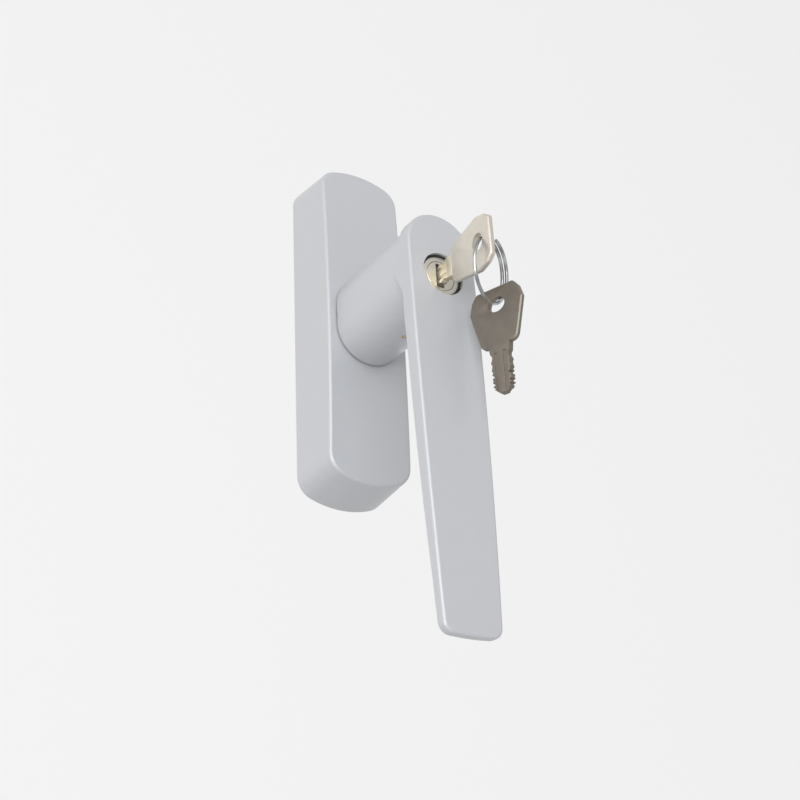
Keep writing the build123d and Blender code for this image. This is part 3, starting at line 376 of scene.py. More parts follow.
@dataclass(frozen=True)
class KeyMetal:
    """Nickel plate on a stamped key, rubbed along its length, with darker wear in random patches."""

    name: str
    plate: Colour
    wear: Colour
    rough: Point
    worn: Point = (0.07, 0.375)
    along: Triple = (5, 0.5, 5)
    rub: float = 0.0016
    patch: float = 0.0042
    grain: float = 0.00045

    def material(self) -> bpy.types.Material:
        """Plate and wear the key.

        Returns:
            The material.
        """
        metal = Surface(self.name)
        metal.sets(Metallic=0.82, Specular_IOR_Level=0.45)
        rubbed = metal.noise(self.rub, 6.0, self.along)
        patches = metal.noise(self.patch, 5.0)
        tone = metal.shades(rubbed, [(0.3, times(self.plate, 0.90)), (0.72, self.plate)])
        shade = metal.shades(patches, [(0.35, self.wear), (0.66, self.plate)])
        colour = metal.over(tone, shade, metal.levels(patches, *self.worn))
        metal.bump(rubbed, 0.000006, 0.5)
        metal.bump(metal.noise(self.grain, 3.0), 0.000004, 0.35)
        return metal.done(Base_Color=colour, Roughness=metal.levels(rubbed, *self.rough))


@dataclass(frozen=True)
class DrawnWire:
    """Bright drawn steel: its roughness hazed from handling, its colour darkened in long patches as
    painted reflection, for the dark reflections on the wire.
    """

    name: str
    base: Colour = (0.62, 0.635, 0.65)
    rough: Point = (0.30, 0.14)
    haze: float = 0.0065
    grain: float = 0.0003

    def material(self) -> bpy.types.Material:
        """Draw the wire.

        Returns:
            The material.
        """
        wire = Surface(self.name)
        wire.sets(Metallic=1.0)
        haze = wire.noise(self.haze, 3.0)
        # painted reflection: the haze patches darken the colour to half, for dark reflections on the wire
        tone = wire.shades(haze, [(0.38, times(self.base, 0.52)), (0.60, self.base)])
        wire.bump(wire.noise(self.grain, 3.0), 0.000003, 0.4)
        return wire.done(Base_Color=tone, Roughness=wire.levels(haze, *self.rough))


@dataclass(frozen=True)
class PlatedSteel:
    """Zinc plate: pale spangle with a faint straw and blue bloom."""

    name: str = "zinc_plated_steel"
    blue: Colour = (0.52, 0.53, 0.60)
    straw: Colour = (0.64, 0.60, 0.49)
    bloom: float = 0.009
    spangle: float = 0.0011
    grain: float = 0.0005
    haze: float = 0.002
    rough: Point = (0.28, 0.46)

    def material(self) -> bpy.types.Material:
        """Plate the steel.

        Returns:
            The material.
        """
        zinc = Surface(self.name)
        zinc.sets(Metallic=1.0)
        bloom = zinc.noise(self.bloom, 4.0)
        tone = zinc.shades(bloom, [(0.3, self.blue), (0.5, grey(0.60)), (0.72, self.straw)])
        spangle = zinc.shades(zinc.flakes(self.spangle), [(0.0, grey(0.46)), (1.0, grey(0.68))])
        zinc.bump(zinc.noise(self.grain, 4.0), 0.000006, 0.5)
        rough = zinc.levels(zinc.noise(self.haze, 4.0), *self.rough)
        colour = zinc.over(tone, spangle, zinc.levels(bloom, 0.15, 0.4))
        return zinc.done(Base_Color=colour, Roughness=rough)


@dataclass(frozen=True)
class HardSteel:
    """Heat-darkened steel with an oily sheen and fine grinding marks."""

    name: str = "dark_steel"
    dark: Colour = (0.10, 0.10, 0.11)
    light: Colour = (0.23, 0.22, 0.22)
    grind: Triple = (1, 1, 9)
    mark: float = 0.0012
    oil: float = 0.003
    rough: Point = (0.28, 0.5)

    def material(self) -> bpy.types.Material:
        """Grind and darken the steel.

        Returns:
            The material.
        """
        steel = Surface(self.name)
        steel.sets(Metallic=1.0)
        marks = steel.noise(self.mark, 5.0, self.grind)
        tone = steel.shades(marks, [(0.3, self.dark), (0.7, self.light)])
        steel.bump(marks, 0.000006, 0.6)
        rough = steel.levels(steel.noise(self.oil, 3.0), *self.rough)
        return steel.done(Base_Color=tone, Roughness=rough)


@dataclass(frozen=True)
class Brass:
    """Milled brass, tarnished a little in blotches."""

    name: str = "brass"
    bright: Colour = (0.78, 0.60, 0.33)
    dull: Colour = (0.44, 0.31, 0.15)
    blotch: float = 0.0018
    mill: float = 0.0008
    rough: Point = (0.24, 0.42)

    def material(self) -> bpy.types.Material:
        """Mill the brass.

        Returns:
            The material.
        """
        brass = Surface(self.name)
        brass.sets(Metallic=1.0)
        tarnish = brass.noise(self.blotch, 5.0)
        mill = brass.noise(self.mill, 4.0, (6, 1, 1))
        brass.bump(mill, 0.000006, 0.5)
        tone = brass.shades(tarnish, [(0.36, self.dull), (0.6, self.bright)])
        return brass.done(Base_Color=tone, Roughness=brass.levels(mill, *self.rough))


@dataclass(frozen=True)
class Nylon:
    """Dark moulded nylon with a fine mould grain."""

    name: str = "dark_nylon"
    grain: float = 0.0004
    cloud: float = 0.004
    rough: Point = (0.42, 0.62)

    def material(self) -> bpy.types.Material:
        """Mould the nylon.

        Returns:
            The material.
        """
        nylon = Surface(self.name)
        nylon.sets(IOR=1.53)
        grain = nylon.noise(self.grain, 3.0)
        nylon.bump(grain, 0.00001, 0.6)
        tone = nylon.shades(nylon.noise(self.cloud, 3.0), [(0.35, grey(0.022)), (0.65, grey(0.035))])
        return nylon.done(Base_Color=tone, Roughness=nylon.levels(grain, *self.rough))


class Bench:
    """Where one piece at a time is shaped by edit-mode steps; lengths are metres."""

    @staticmethod
    def clear() -> None:
        """Leave edit mode and deselect everything."""
        if bpy.context.mode != "OBJECT":
            bpy.ops.object.mode_set(mode="OBJECT")
        bpy.ops.object.select_all(action="DESELECT")

    @staticmethod
    def only(piece: bpy.types.Object) -> None:
        """Make a piece the only one selected, and the active one.

        Args:
            piece: the piece.
        """
        Bench.clear()
        piece.select_set(True)
        bpy.context.view_layer.objects.active = piece

    @staticmethod
    def named(name: str) -> bpy.types.Object:
        """Name the piece that was just added.

        Args:
            name: its name.

        Returns:
            The piece.
        """
        piece = bpy.context.active_object
        piece.name = name
        piece.data.name = name
        return piece

    @staticmethod
    def pick(piece: bpy.types.Object, kind: Kind, test: Callable[[object], bool]) -> None:
        """Select what passes a test, in edit mode.

        Args:
            piece: the piece in edit mode.
            kind: what is selected.
            test: whether one corner, edge or face is wanted.
        """
        bpy.context.tool_settings.mesh_select_mode = [kind is each for each in Kind]
        mesh = bmesh.from_edit_mesh(piece.data)
        for items in (mesh.faces, mesh.edges, mesh.verts):
            for item in items:
                item.select_set(False)
        items = getattr(mesh, kind.value)
        items.ensure_lookup_table()
        for item in [item for item in items if test(item)]:
            item.select_set(True)
        mesh.select_flush_mode()
        bmesh.update_edit_mesh(piece.data)

    @staticmethod
    def plate(
        name: str, outline: Sequence[Point], low: float, high: float, roundings: Sequence[float] = ()
    ) -> bpy.types.Object:
        """A flat plate: a many-sided face with its corners drawn to an outline, rounded and thickened.

        Args:
            name: the piece's name.
            outline: its corners in order, turning left.
            low: the height of its lower face.
            high: the height of its upper face.
            roundings: how far each corner is cut back, in order; 0 leaves a corner sharp.

        Returns:
            The plate.
        """
        Bench.clear()
        reach = max(math.hypot(*corner) for corner in outline)
        bpy.ops.mesh.primitive_circle_add(
            vertices=len(outline), radius=reach, fill_type="NGON", location=(0, 0, low)
        )
        piece = Bench.named(name)
        bpy.ops.object.transform_apply(location=True, rotation=True, scale=True)
        bpy.ops.object.mode_set(mode="EDIT")
        for index, (x, y) in enumerate(outline):
            Bench.pick(piece, Kind.CORNERS, lambda corner: corner.index == index)
            corners = bmesh.from_edit_mesh(piece.data).verts
            at = next(corner.co.copy() for corner in corners if corner.index == index)
            bpy.ops.transform.translate(value=Vector((x, y, low)) - at)
        for (x, y), size in zip(outline, roundings):
            if not size:
                continue
            here = Vector((x, y, low))
            Bench.pick(piece, Kind.CORNERS, lambda corner: (corner.co - here).length < WELD / 2)
            bpy.ops.mesh.bevel(offset=size, segments=6, affect="VERTICES")
        bpy.ops.mesh.select_all(action="SELECT")
        bpy.ops.mesh.extrude_region_move(TRANSFORM_OT_translate={"value": (0, 0, high - low)})
        bpy.ops.mesh.select_all(action="SELECT")
        bpy.ops.mesh.normals_make_consistent(inside=False)
        bpy.ops.object.mode_set(mode="OBJECT")
        return piece

    @staticmethod
    def bar(name: str, low: Triple, high: Triple) -> bpy.types.Object:
        """A box between two corners.

        Args:
            name: the piece's name.
            low: its lowest corner.
            high: its highest corner.

        Returns:
            The box.
        """
        Bench.clear()
        middle = [(a + b) / 2 for a, b in zip(low, high)]
        bpy.ops.mesh.primitive_cube_add(size=1, location=middle, scale=[b - a for a, b in zip(low, high)])
        piece = Bench.named(name)
        bpy.ops.object.transform_apply(location=True, rotation=True, scale=True)
        return piece

    @staticmethod
    def plug(name: str, middle: Triple, half: Point, height: float, sides: int = 64) -> bpy.types.Object:
        """An upright cylinder, oval if its halves differ.

        Args:
            name: the piece's name.
            middle: its centre.
            half: its half sizes across.
            height: its height.
            sides: how many sides it has.

        Returns:
            The cylinder.
        """
        Bench.clear()
        bpy.ops.mesh.primitive_cylinder_add(
            vertices=sides, radius=1, depth=height, location=middle, scale=(half[0], half[1], 1)
        )
        piece = Bench.named(name)
        bpy.ops.object.transform_apply(location=True, rotation=True, scale=True)
        return piece

    @staticmethod
    def combine(piece: bpy.types.Object, other: bpy.types.Object, step: Step = Step.CUT) -> None:
        """Cut a piece by another, or weld the other on, and do away with the other.

        Args:
            piece: the piece that stays.
            other: the tool or the addition.
            step: whether it cuts or is welded on.
        """
        Bench.only(piece)
        bpy.ops.object.modifier_add(type="BOOLEAN")
        joint = piece.modifiers[-1]
        joint.operation = step.value
        joint.solver = "EXACT"
        joint.object = other
        bpy.ops.object.modifier_apply(modifier=joint.name)
        spare_mesh = other.data
        bpy.data.objects.remove(other)
        bpy.data.meshes.remove(spare_mesh)

    @staticmethod
    def soften(piece: bpy.types.Object, width: float, segments: int, above: float) -> None:
        """Round every edge that turns by more than an angle.

        Args:
            piece: the piece.
            width: how far each edge is cut back.
            segments: how many facets round it.
            above: the angle in degrees.
        """
        Bench.only(piece)
        bpy.ops.object.modifier_add(type="BEVEL")
        rounding = piece.modifiers[-1]
        rounding.width = width
        rounding.segments = segments
        rounding.limit_method = "ANGLE"
        rounding.angle_limit = math.radians(above)
        rounding.harden_normals = False
        bpy.ops.object.modifier_apply(modifier=rounding.name)
        bpy.ops.object.shade_smooth_by_angle(angle=CREASE)

    @staticmethod
    def mend(piece: bpy.types.Object) -> None:
        """Merge doubles and turn every face outwards.

        Args:
            piece: the piece.
        """
        Bench.only(piece)
        bpy.ops.object.mode_set(mode="EDIT")
        bpy.ops.mesh.select_all(action="SELECT")
        bpy.ops.mesh.remove_doubles(threshold=WELD)
        bpy.ops.mesh.normals_make_consistent(inside=False)
        bpy.ops.object.mode_set(mode="OBJECT")

    @staticmethod
    def wind(
        name: str, radius: float, wire: float, pitch: float, turns: float, steps: int
    ) -> bpy.types.Object:
        """A coil of round wire about the upright axis through the origin, its middle at the origin.

        The wire's section is a circle that a screw sweeps, and each end is closed by a face.

        Args:
            name: the piece's name.
            radius: from the axis to the wire's middle.
            wire: the wire's radius.
            pitch: the rise of one turn.
            turns: how many turns there are.
            steps: the facets along one turn.

        Returns:
            The coil.
        """
        Bench.clear()
        bpy.ops.mesh.primitive_circle_add(
            vertices=24, radius=wire, fill_type="NOTHING",
            location=(radius, 0, -pitch * turns / 2), rotation=(math.pi / 2, 0, 0),
        )
        piece = Bench.named(name)
        bpy.ops.object.transform_apply(location=True, rotation=True, scale=True)
        bpy.ops.object.modifier_add(type="SCREW")
        sweep = piece.modifiers[-1]
        sweep.axis = "Z"
        sweep.angle = math.tau * turns
        sweep.screw_offset = pitch * turns
        sweep.steps = sweep.render_steps = round(steps * turns)
        sweep.use_merge_vertices = False
        sweep.use_smooth_shade = True
        bpy.ops.object.modifier_apply(modifier=sweep.name)
        bpy.ops.object.mode_set(mode="EDIT")
        Bench.pick(piece, Kind.EDGES, lambda edge: edge.is_boundary)
        bpy.ops.mesh.edge_face_add()
        bpy.ops.mesh.select_all(action="SELECT")
        bpy.ops.mesh.normals_make_consistent(inside=False)
        bpy.ops.object.mode_set(mode="OBJECT")
        return piece

    @staticmethod
    def settle(piece: bpy.types.Object, origin: Vector, across: Vector, along: Vector, up: Vector) -> None:
        """Carry a piece from the bench to its place, with the place kept in its mesh.

        Args:
            piece: the piece.
            origin: where the bench's origin goes.
            across: where the bench's first axis points.
            along: where its second axis points.
            up: where its third axis points.
        """
        Bench.only(piece)
        turn = Matrix((across, along, up)).transposed().to_4x4()
        piece.matrix_world = Matrix.Translation(origin) @ turn
        bpy.ops.object.transform_apply(location=True, rotation=True, scale=True)


class Node:
    """Short ways to dress the frame's nodes and to hand new pieces to the frame."""

    @staticmethod
    def dress(finish: bpy.types.Material, *names: str) -> None:
        """Give frame nodes a finish on their own material slots.

        Args:
            finish: the finish.
            names: the nodes.
        """
        for name in names:
            node = bpy.data.objects[name]
            if not node.material_slots:
                node.data.materials.append(None)
            for slot in node.material_slots:
                slot.link = "OBJECT"
                slot.material = finish
            log.info("%s dressed in %s", name, finish.name)

    @staticmethod
    def hand_over(piece: bpy.types.Object, body: str, slot: str, *nodes: str) -> None:
        """Set a new piece on its body, in place of the nodes that it stands for.

        Args:
            piece: the piece.
            body: the body that it moves with.
            slot: the record's material slot; not used.
            nodes: the nodes that it replaces.
        """
        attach(piece, body)
        if nodes:
            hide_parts(*nodes)
        log.info("%s rides on %s, %d faces", piece.name, body, len(piece.data.polygons))


@dataclass
class GearCase:
    """The painted case, its back plate and the working parts inside it."""

    paint: bpy.types.Material
    plated: bpy.types.Material
    hardened: bpy.types.Material
    nylon: bpy.types.Material
    brass: bpy.types.Material

    def dress(self) -> None:
        """Give each part of the case its finish."""
        Node.dress(self.paint, "gear_case")
        Node.dress(self.plated, "back_plate", "back_plate_screws", "lock_disc_screws")
        Node.dress(self.plated, "left_rack", "right_rack")
        Node.dress(self.hardened, "lock_disc", "pinion", "upper_drive_pin", "lower_drive_pin")
        Node.dress(self.hardened, "spindle", "spindle_cross_pin")
        Node.dress(self.brass, "front_bush", "rear_bush")
        Node.dress(self.nylon, "slip_ring")


@dataclass
class Lever:
    """The painted lever, and what its neck holds."""

    paint: bpy.types.Material
    plated: bpy.types.Material
    brass: bpy.types.Material
    spring_steel: bpy.types.Material
    spring_turns: int = 5
    detent_wire_share: float = 0.13
    bolt_wire_share: float = 0.0765
    steps: int = 40

    def dress(self) -> None:
        """Give the lever and its fasteners their finishes."""
        Node.dress(self.paint, "lever_handle")
        Node.dress(self.plated, "spindle_screw", "spindle_washer")
        Node.dress(self.spring_steel, "detent_ball")
        Node.dress(self.brass, "cylinder_catch_pin")

    def build_springs(self) -> None:
        """Wind the detent's and the locking bolt's springs in the places of their nodes."""
        springs = (
            ("detent_coil", "detent_spring", self.detent_wire_share),
            ("bolt_coil", "bolt_spring", self.bolt_wire_share),
        )
        for name, node, share in springs:
            low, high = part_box(node)
            middle = (Vector(low) + Vector(high)) / 2
            outer = (high[0] - low[0]) / 2
            wire = share * outer
            pitch = (high[1] - low[1] - 2 * wire) / self.spring_turns
            coil = Bench.wind(name, outer - wire, wire, pitch, self.spring_turns, self.steps)
            Bench.settle(coil, middle, Vector((1, 0, 0)), Vector((0, 0, 1)), Vector((0, -1, 0)))
            coil.data.materials.append(self.spring_steel)
            Node.hand_over(coil, "handle", "zinc_plated_steel", node)


@dataclass
class Lock:
    """The lock cylinder, its plug and what turns or slides with it."""

    nickel: bpy.types.Material
    brass: bpy.types.Material
    plated: bpy.types.Material
    hardened: bpy.types.Material
    # this dark nylon is laid on here as painted shade, in the bore's rim and the keyway's mouth
    nylon: bpy.types.Material
    axis_z: float = -5.2 * MM
    # the sleeve is painted shade: a dark ring in the bore's rim for the shadow in the gap round the lock's
    # face
    sleeve_outer: float = 7.97 * MM
    sleeve_inner: float = 7.6 * MM
    sleeve_front: float = 69.18 * MM
    sleeve_back: float = 68.14 * MM
    sleeve_sides: int = 96
    relief_r: float = 7.9 * MM
    relief_shift: Point = (0.25 * MM, 0.4 * MM)
    relief_depth: float = 0.6 * MM
    # the shutter is painted shade: a dark plate in the keyway's mouth for the shadow beside the blade
    shade_shutter_low: Triple = (-1.82 * MM, -67.75 * MM, -9.72 * MM)
    shade_shutter_high: Triple = (1.22 * MM, -67.45 * MM, -0.68 * MM)
    window_low: Triple = (-1.2 * MM, -68.5 * MM, -9.3 * MM)
    window_high: Triple = (1.3 * MM, -67.0 * MM, -1.1 * MM)

    def build_shade_sleeve(self) -> None:
        """Line the rim of the head's bore with a thin dark sleeve that fades out at the upper right; the
        sleeve is painted shade, standing in for the shadow in the gap round the lock's face.
        """
        middle = (0.0, 0.0, 0.0)
        height = self.sleeve_front - self.sleeve_back
        outer, inner, relief = ((r, r) for r in (self.sleeve_outer, self.sleeve_inner, self.relief_r))
        sleeve = Bench.plug("lock_bore_shade_sleeve", middle, outer, height, self.sleeve_sides)
        bore = Bench.plug("bore", middle, inner, 2 * height, self.sleeve_sides)
        Bench.combine(sleeve, bore)
        # an off-centre relief thins the painted shade away towards the upper right
        seat = (*self.relief_shift, height / 2)
        hollow = Bench.plug("relief", seat, relief, 2 * self.relief_depth, self.sleeve_sides)
        Bench.combine(sleeve, hollow)
        place = Vector((0, -(self.sleeve_front + self.sleeve_back) / 2, self.axis_z))
        Bench.settle(sleeve, place, Vector((1, 0, 0)), Vector((0, 0, 1)), Vector((0, -1, 0)))
        sleeve.data.materials.append(self.nylon)
        Node.hand_over(sleeve, "handle", "dark_nylon")

    def build_shade_shutter(self) -> None:
        """Set a thin dark shutter round the blade in the keyway's mouth; its darkness is painted shade,
        standing in for the shadow in the mouth beside the blade.
        """
        shade_shutter = Bench.bar("keyway_shade_shutter", self.shade_shutter_low, self.shade_shutter_high)
        window = Bench.bar("window", self.window_low, self.window_high)
        Bench.combine(shade_shutter, window)
        shade_shutter.data.materials.append(self.nylon)
        Node.hand_over(shade_shutter, "plug", "dark_nylon")

    def dress(self) -> None:
        """Give each part of the lock its finish."""
        Node.dress(self.nickel, "lock_cylinder_body", "lock_plug")
        Node.dress(self.brass, "wafers")
        Node.dress(self.plated, "wafer_springs", "cam_screw")
        Node.dress(self.hardened, "lock_cam", "locking_bolt")


@dataclass
class Key:
    """A flat stamped key; on the bench x runs out along the bow from the shoulder, z is the thickness."""

    bow_finish: bpy.types.Material
    edge_finish: bpy.types.Material
    blade_finish: bpy.types.Material
    bow_t: float = 2.0 * MM
    bow_length: float = 21.4 * MM
    root_half: float = 6.8 * MM
    wide_half: float = 10.35 * MM
    wide_at: float = 14.6 * MM
    corner_at: float = 18.8 * MM
    corner_half: float = 9.2 * MM
    end_half: float = 7.2 * MM
    cut_backs: tuple[float, ...] = (0.64 * MM, 0.26 * MM, 0.34 * MM, 2.04 * MM)
    bevel: float = 0.4 * MM
    hole_at: float = 14.8 * MM
    hole_side: float = 0.4 * MM
    hole_half: Point = (2.7 * MM, 3.2 * MM)
    blade_t: float = 2.3 * MM
    blade_length: float = 17.1 * MM
    blade_half: float = 4.05 * MM
    root_overlap: float = 0.5 * MM
    point_length: float = 1.8 * MM
    point_half: float = 1.2 * MM
    point_draw: float = 0.8 * MM
    edge_wear: float = 0.4 * MM
    groove_w: float = 1.1 * MM
    groove_depth: float = 0.35 * MM
    groove_start: float = -2.6 * MM
    groove_side: float = 1.7 * MM
    cuts: tuple[Triple, ...] = (
        (4.0, 1.2, 1.0),
        (6.9, 1.0, 0.8),
        (9.4, 0.66, 0.9),
        (10.8, 0.66, 1.5),
        (12.2, 0.66, 0.7),
        (13.6, 0.66, 1.4),
        (15.0, 0.66, 1.5),
    )
    cut_rounding: float = 0.2 * MM
    point_rounding: float = 0.4 * MM
    arris: float = 0.13 * MM
    spare: float = 1.0 * MM
    flat_above: float = 0.98
    blade_finish_to: float = 0.2 * MM

    def bow_outline(self) -> list[Point]:
        """The bow's outline.

        Returns:
            Its corners in order, turning left.
        """
        side = [
            (self.bow_length, self.end_half),
            (self.corner_at, self.corner_half),
            (self.wide_at, self.wide_half),
            (0.0, self.root_half),
        ]
        return side + [(x, -y) for x, y in reversed(side)]

    def blade_outline(self) -> list[Point]:
        """The blade's outline with its cuts, each a place, a half width and a depth in millimetres.

        Returns:
            Its corners in order, turning left.
        """
        side = [(self.root_overlap, self.blade_half), (0.0, self.blade_half)]
        for place, half, depth in self.cuts:
            floor = self.blade_half - depth * MM
            side.append(((half - place) * MM, self.blade_half - self.edge_wear))
            side.append(((half / 3 - place) * MM, floor))
            side.append(((-half / 3 - place) * MM, floor))
        side.append((-self.blade_length + self.point_length, self.blade_half - self.point_draw))
        side.append((-self.blade_length, self.point_half))
        return side + [(x, -y) for x, y in reversed(side)]

    def build_bow(self, name: str) -> bpy.types.Object:
        """Stamp the bow: its outline, the bevel round both faces, and the hole.

        Args:
            name: the piece's name.

        Returns:
            The bow on the bench.
        """
        corners = self.cut_backs + self.cut_backs[::-1]
        bow = Bench.plate(name, self.bow_outline(), -self.bow_t / 2, self.bow_t / 2, corners)
        Bench.soften(bow, self.bevel, segments=1, above=60.0)
        hole = Bench.plug("hole", (self.hole_at, self.hole_side, 0), self.hole_half, 3 * self.bow_t)
        Bench.combine(bow, hole)
        return bow

    def build_blade(self) -> bpy.types.Object:
        """Mill the blade: cuts along both edges and two grooves on each face.

        Returns:
            The blade on the bench.
        """
        edge = [0.0, 0.0] + [self.cut_rounding] * 3 * len(self.cuts) + [self.point_rounding] * 2
        corners = edge + edge[::-1]
        blade = Bench.plate("blade", self.blade_outline(), -self.blade_t / 2, self.blade_t / 2, corners)
        for side in (1, -1):
            floor = side * (self.blade_t / 2 - self.groove_depth)
            low, high = sorted((floor, side * self.blade_t))
            for middle in (-self.groove_side, self.groove_side):
                groove = Bench.bar(
                    "groove",
                    (-self.blade_length - self.spare, middle - self.groove_w / 2, low),
                    (self.groove_start, middle + self.groove_w / 2, high),
                )
                Bench.combine(blade, groove)
        return blade

    def build(self, name: str, shoulder: Vector, along: Vector, face: Vector) -> bpy.types.Object:
        """Make the key and carry it to its place.

        Args:
            name: the piece's name.
            shoulder: where the blade meets the bow.
            along: the way from the shoulder out along the bow.
            face: the way that its marked face looks.

        Returns:
            The key.
        """
        key = self.build_bow(name)
        Bench.combine(key, self.build_blade(), Step.WELD)
        for finish in (self.bow_finish, self.edge_finish, self.blade_finish):
            key.data.materials.append(finish)
        Bench.mend(key)
        Bench.soften(key, self.arris, segments=2, above=30.0)
        bow, edge, blade = range(3)
        for polygon in key.data.polygons:
            outer = edge if abs(polygon.normal.z) < self.flat_above else bow
            polygon.material_index = blade if polygon.center.x < self.blade_finish_to else outer
        Bench.settle(key, shoulder, along, face.cross(along), face)
        return key


@dataclass
class SplitRing:
    """The split ring of round wire, a turn and a third, its cut ends seen where the turns lie together."""

    finish: bpy.types.Material
    radius: float = 10.9 * MM
    wire: float = 0.6 * MM
    pitch: float = 1.65 * MM
    start_deg: float = -30.0
    end_deg: float = 450.0
    steps: int = 96
    end_rounding: float = 0.12 * MM
    yaw_deg: float = 27.0
    lean_deg: float = -10.5
    centre: Triple = (5.85267 * MM, -87.035 * MM, -11.8046 * MM)

    def build(self) -> bpy.types.Object:
        """Wind the ring and hang it in its place.

        Returns:
            The ring.
        """
        turns = (self.end_deg - self.start_deg) / 360
        ring = Bench.wind("split_ring_wire", self.radius, self.wire, self.pitch, turns, self.steps)
        Bench.soften(ring, self.end_rounding, segments=2, above=60.0)
        yaw, lean, start = (math.radians(a) for a in (self.yaw_deg, self.lean_deg, self.start_deg))
        across = Vector((math.cos(yaw), math.sin(yaw), 0))
        normal = Vector((math.sin(yaw) * math.cos(lean), -math.cos(yaw) * math.cos(lean), math.sin(lean)))
        up = normal.cross(across)
        first = across * math.cos(start) + up * math.sin(start)
        Bench.settle(ring, Vector(self.centre), first, normal.cross(first), normal)
        ring.data.materials.append(self.finish)
        return ring


@dataclass
class KeyRing:
    """The key in the lock, the split ring through its hole and the spare key on the ring."""

    bright: bpy.types.Material
    bright_edge: bpy.types.Material
    bare_brass: bpy.types.Material
    # the spare key's finishes: worn plate, darkened also as painted shade for the dark reflection on its
    # face
    worn: bpy.types.Material
    worn_shaded_edge: bpy.types.Material
    steel: bpy.types.Material
    lock_shoulder: Triple = (0.0, -75.3 * MM, -5.2 * MM)
    spare_yaw: float = -72.0  # degrees
    spare_hang: Point = (11.0281 * MM, -83.0799 * MM)

    def build(self) -> None:
        """Make the three pieces and hand them over in place of their nodes."""
        first = Key(self.bright, self.bright_edge, self.bare_brass)
        shoulder = Vector(self.lock_shoulder)
        key = first.build("key_in_the_lock", shoulder, Vector((0, -1, 0)), Vector((-1, 0, 0)))
        Node.hand_over(key, "key", "key_nickel", "key_in_lock")

        ring = SplitRing(self.steel).build()
        Node.hand_over(ring, "ring", "ring_steel", "split_ring")

        second = Key(self.worn, self.worn_shaded_edge, self.worn)
        yaw = math.radians(self.spare_yaw)
        across = Vector((math.cos(yaw), math.sin(yaw), 0))
        up = Vector((0, 0, 1))
        low = Vector(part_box("spare_key")[0])
        shoulder = Vector((self.spare_hang[0], self.spare_hang[1], low.z + second.blade_length))
        shoulder -= across * second.hole_side
        spare = second.build("spare_key_on_ring", shoulder, up, up.cross(across))
        Node.hand_over(spare, "spare", "worn_key_nickel", "spare_key")


@dataclass(frozen=True)
class SoftLight:
    """A soft rectangular light that the camera doesn't see; its size is its width and height."""

    name: str
    place: Triple
    size: Point
    watts: float
    tint: Colour

    def hang(self, target: Triple) -> None:
        """Hang the light so that it faces a place.

        Args:
            target: the place.
        """
        Bench.clear()
        bpy.ops.object.light_add(type="AREA", location=self.place)
        light = bpy.context.active_object
        light.name = self.name
        light.data.shape = "RECTANGLE"
        light.data.size, light.data.size_y = self.size
        light.data.energy = self.watts
        light.data.color = self.tint
        facing = (Vector(target) - Vector(self.place)).to_track_quat("-Z", "Y")
        light.rotation_euler = facing.to_euler()
        light.visible_camera = False


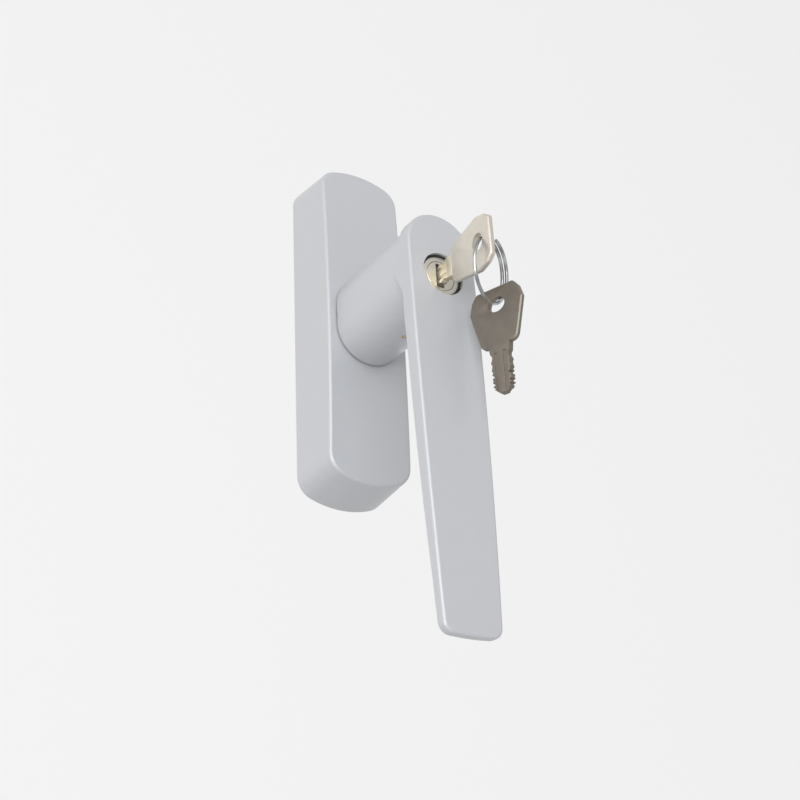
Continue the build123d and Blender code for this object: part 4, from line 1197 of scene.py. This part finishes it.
@dataclass
class Studio:
    """The plain pale stage, its soft lights and the camera at the photograph's angle."""

    camera_at: Triple = (-220.2 * MM, -356.5 * MM, -234.3 * MM)
    heading_deg: float = 34.84
    rise_deg: float = 26.84
    roll_deg: float = -3.24
    lens_mm: float = 57.22
    sensor_mm: float = 36.0
    wall_y: float = 1.2
    floor_z: float = -0.62
    reach: float = 9.0
    bend: float = 0.25
    pale: Colour = grey(0.887)
    paper: Colour = grey(0.2)
    floor_glow: float = 0.55
    wall_glow: float = 0.79
    wall_glow_from: float = -0.1
    room_glow: float = 0.68
    aim: Triple = (0.0, -0.03, -0.03)
    lights: tuple[SoftLight, ...] = (
        SoftLight("left_window", (-1.7, -1.3, 0.5), (0.9, 1.7), 3.0, (1.0, 0.94, 0.86)),
        SoftLight("low_window", (-1.2, -0.9, -0.5), (1.3, 0.6), 11.5, (1.0, 0.955, 0.90)),
        SoftLight("front_box", (-1.2, -2.0, 0.4), (2.2, 1.6), 27.0, (0.93, 0.965, 1.0)),
        SoftLight("right_glow", (1.2, -1.2, 1.6), (1.4, 1.4), 1.0, (1.0, 1.0, 1.0)),
    )

    def backdrop_finish(self) -> bpy.types.Material:
        """A pale paper whose wall glows evenly and whose floor glows less.

        Returns:
            The material.
        """
        paper = Surface("backdrop_paper")
        paper.sets(Base_Color=self.paper, Roughness=0.9, Emission_Color=self.pale)
        parts = paper.node("ShaderNodeSeparateXYZ")
        paper.join(paper.place, parts.inputs["Vector"])
        rise = (self.floor_z, self.wall_glow_from)
        glow = paper.levels(parts.outputs["Z"], self.floor_glow, self.wall_glow, rise)
        return paper.done(Emission_Strength=glow)

    def by_wall(self, edge: bmesh.types.BMEdge) -> bool:
        """Whether an edge of the sheet lies along the wall."""
        return all(corner.co.y > self.wall_y - NEAR for corner in edge.verts)

    def on_floor(self, edge: bmesh.types.BMEdge) -> bool:
        """Whether an edge of the sheet lies on the floor."""
        return all(abs(corner.co.z - self.floor_z) < NEAR for corner in edge.verts)

    def build_stage(self) -> None:
        """Lay the floor and raise the wall as one bent sheet."""
        Bench.clear()
        middle = (0, self.wall_y - self.reach / 2, self.floor_z)
        bpy.ops.mesh.primitive_plane_add(size=self.reach, location=middle)
        stage = Bench.named("studio_sheet")
        bpy.ops.object.transform_apply(location=True, rotation=True, scale=True)
        bpy.ops.object.mode_set(mode="EDIT")
        Bench.pick(stage, Kind.EDGES, self.by_wall)
        bpy.ops.mesh.extrude_region_move(TRANSFORM_OT_translate={"value": (0, 0, self.reach / 2)})
        Bench.pick(stage, Kind.EDGES, lambda edge: self.by_wall(edge) and self.on_floor(edge))
        bpy.ops.mesh.bevel(offset=self.bend, segments=12, affect="EDGES")
        bpy.ops.mesh.select_all(action="SELECT")
        bpy.ops.mesh.normals_make_consistent(inside=False)
        bpy.ops.object.mode_set(mode="OBJECT")
        bpy.ops.object.shade_smooth()
        stage.data.materials.append(self.backdrop_finish())

    def build_lights(self) -> None:
        """Light the room evenly, with stronger soft lights from the left and the front."""
        world = bpy.data.worlds.new("pale_room")
        bpy.context.scene.world = world
        world.use_nodes = True
        background = world.node_tree.nodes["Background"]
        background.inputs["Color"].default_value = (*self.pale, 1.0)
        background.inputs["Strength"].default_value = self.room_glow
        for light in self.lights:
            light.hang(self.aim)

    def build_camera(self) -> None:
        """Set the camera where the photograph was taken from."""
        heading, rise, roll = (math.radians(a) for a in (self.heading_deg, self.rise_deg, self.roll_deg))
        level = math.cos(rise)
        ahead = Vector((math.sin(heading) * level, math.cos(heading) * level, math.sin(rise)))
        right = Vector((math.cos(heading), -math.sin(heading), 0))
        up = right.cross(ahead)
        facing = Matrix((right, up, -ahead)).transposed().to_4x4()
        camera_data = bpy.data.cameras.new("photo_camera")
        camera = bpy.data.objects.new("photo_camera", camera_data)
        bpy.context.scene.collection.objects.link(camera)
        camera.matrix_world = Matrix.Translation(self.camera_at) @ facing @ Matrix.Rotation(roll, 4, "Z")
        camera_data.lens = self.lens_mm
        camera_data.sensor_width = self.sensor_mm
        camera_data.clip_start = 0.01
        bpy.context.scene.camera = camera

    def build(self) -> None:
        """Set up the stage, lights and camera, with plain colours from render to picture."""
        self.build_stage()
        self.build_lights()
        self.build_camera()
        bpy.context.scene.view_settings.view_transform = "Standard"
        log.info("stage, lights and camera are in place")


def main() -> None:
    """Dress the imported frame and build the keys, the ring, the springs and the studio."""
    logging.basicConfig(level=logging.INFO, format="%(name)s: %(message)s")
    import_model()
    paint = SilverPaint().material()
    plated = PlatedSteel().material()
    hardened = HardSteel().material()
    brass = Brass().material()
    nylon = Nylon().material()
    spring_steel = DrawnWire("spring_wire", grey(0.55)).material()
    low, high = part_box("lock_plug")
    nickel = TurnedNickel("satin_nickel", (low[0] + high[0]) / 2, (low[2] + high[2]) / 2).material()

    Studio().build()
    GearCase(paint, plated, hardened, nylon, brass).dress()
    lever = Lever(paint, plated, brass, spring_steel)
    lever.dress()
    lever.build_springs()
    lock = Lock(nickel, brass, plated, hardened, nylon)
    lock.dress()
    lock.build_shade_sleeve()
    lock.build_shade_shutter()
    bright = KeyMetal("key_nickel", (0.76, 0.71, 0.63), (0.62, 0.55, 0.45), (0.30, 0.44))
    bright_edge = KeyMetal("key_nickel_edge", (0.70, 0.66, 0.59), (0.56, 0.49, 0.38), (0.40, 0.55))
    bare_brass = KeyMetal("worn_brass_blade", (0.97, 0.90, 0.72), (0.86, 0.76, 0.55), (0.34, 0.46))
    # the spare key's very dark nickel is worn plate, and painted shade for the dark reflection on its face
    worn = KeyMetal("worn_key_nickel", (0.27, 0.240, 0.205), (0.14, 0.123, 0.103), (0.50, 0.62))
    worn_shaded_edge = KeyMetal("worn_shaded_key_edge", (0.28, 0.252, 0.215), (0.16, 0.13, 0.10), (0.30, 0.46))
    KeyRing(
        bright=bright.material(),
        bright_edge=bright_edge.material(),
        bare_brass=bare_brass.material(),
        worn=worn.material(),
        worn_shaded_edge=worn_shaded_edge.material(),
        steel=DrawnWire("ring_steel").material(),
    ).build()


if __name__ == "__main__":
    main()
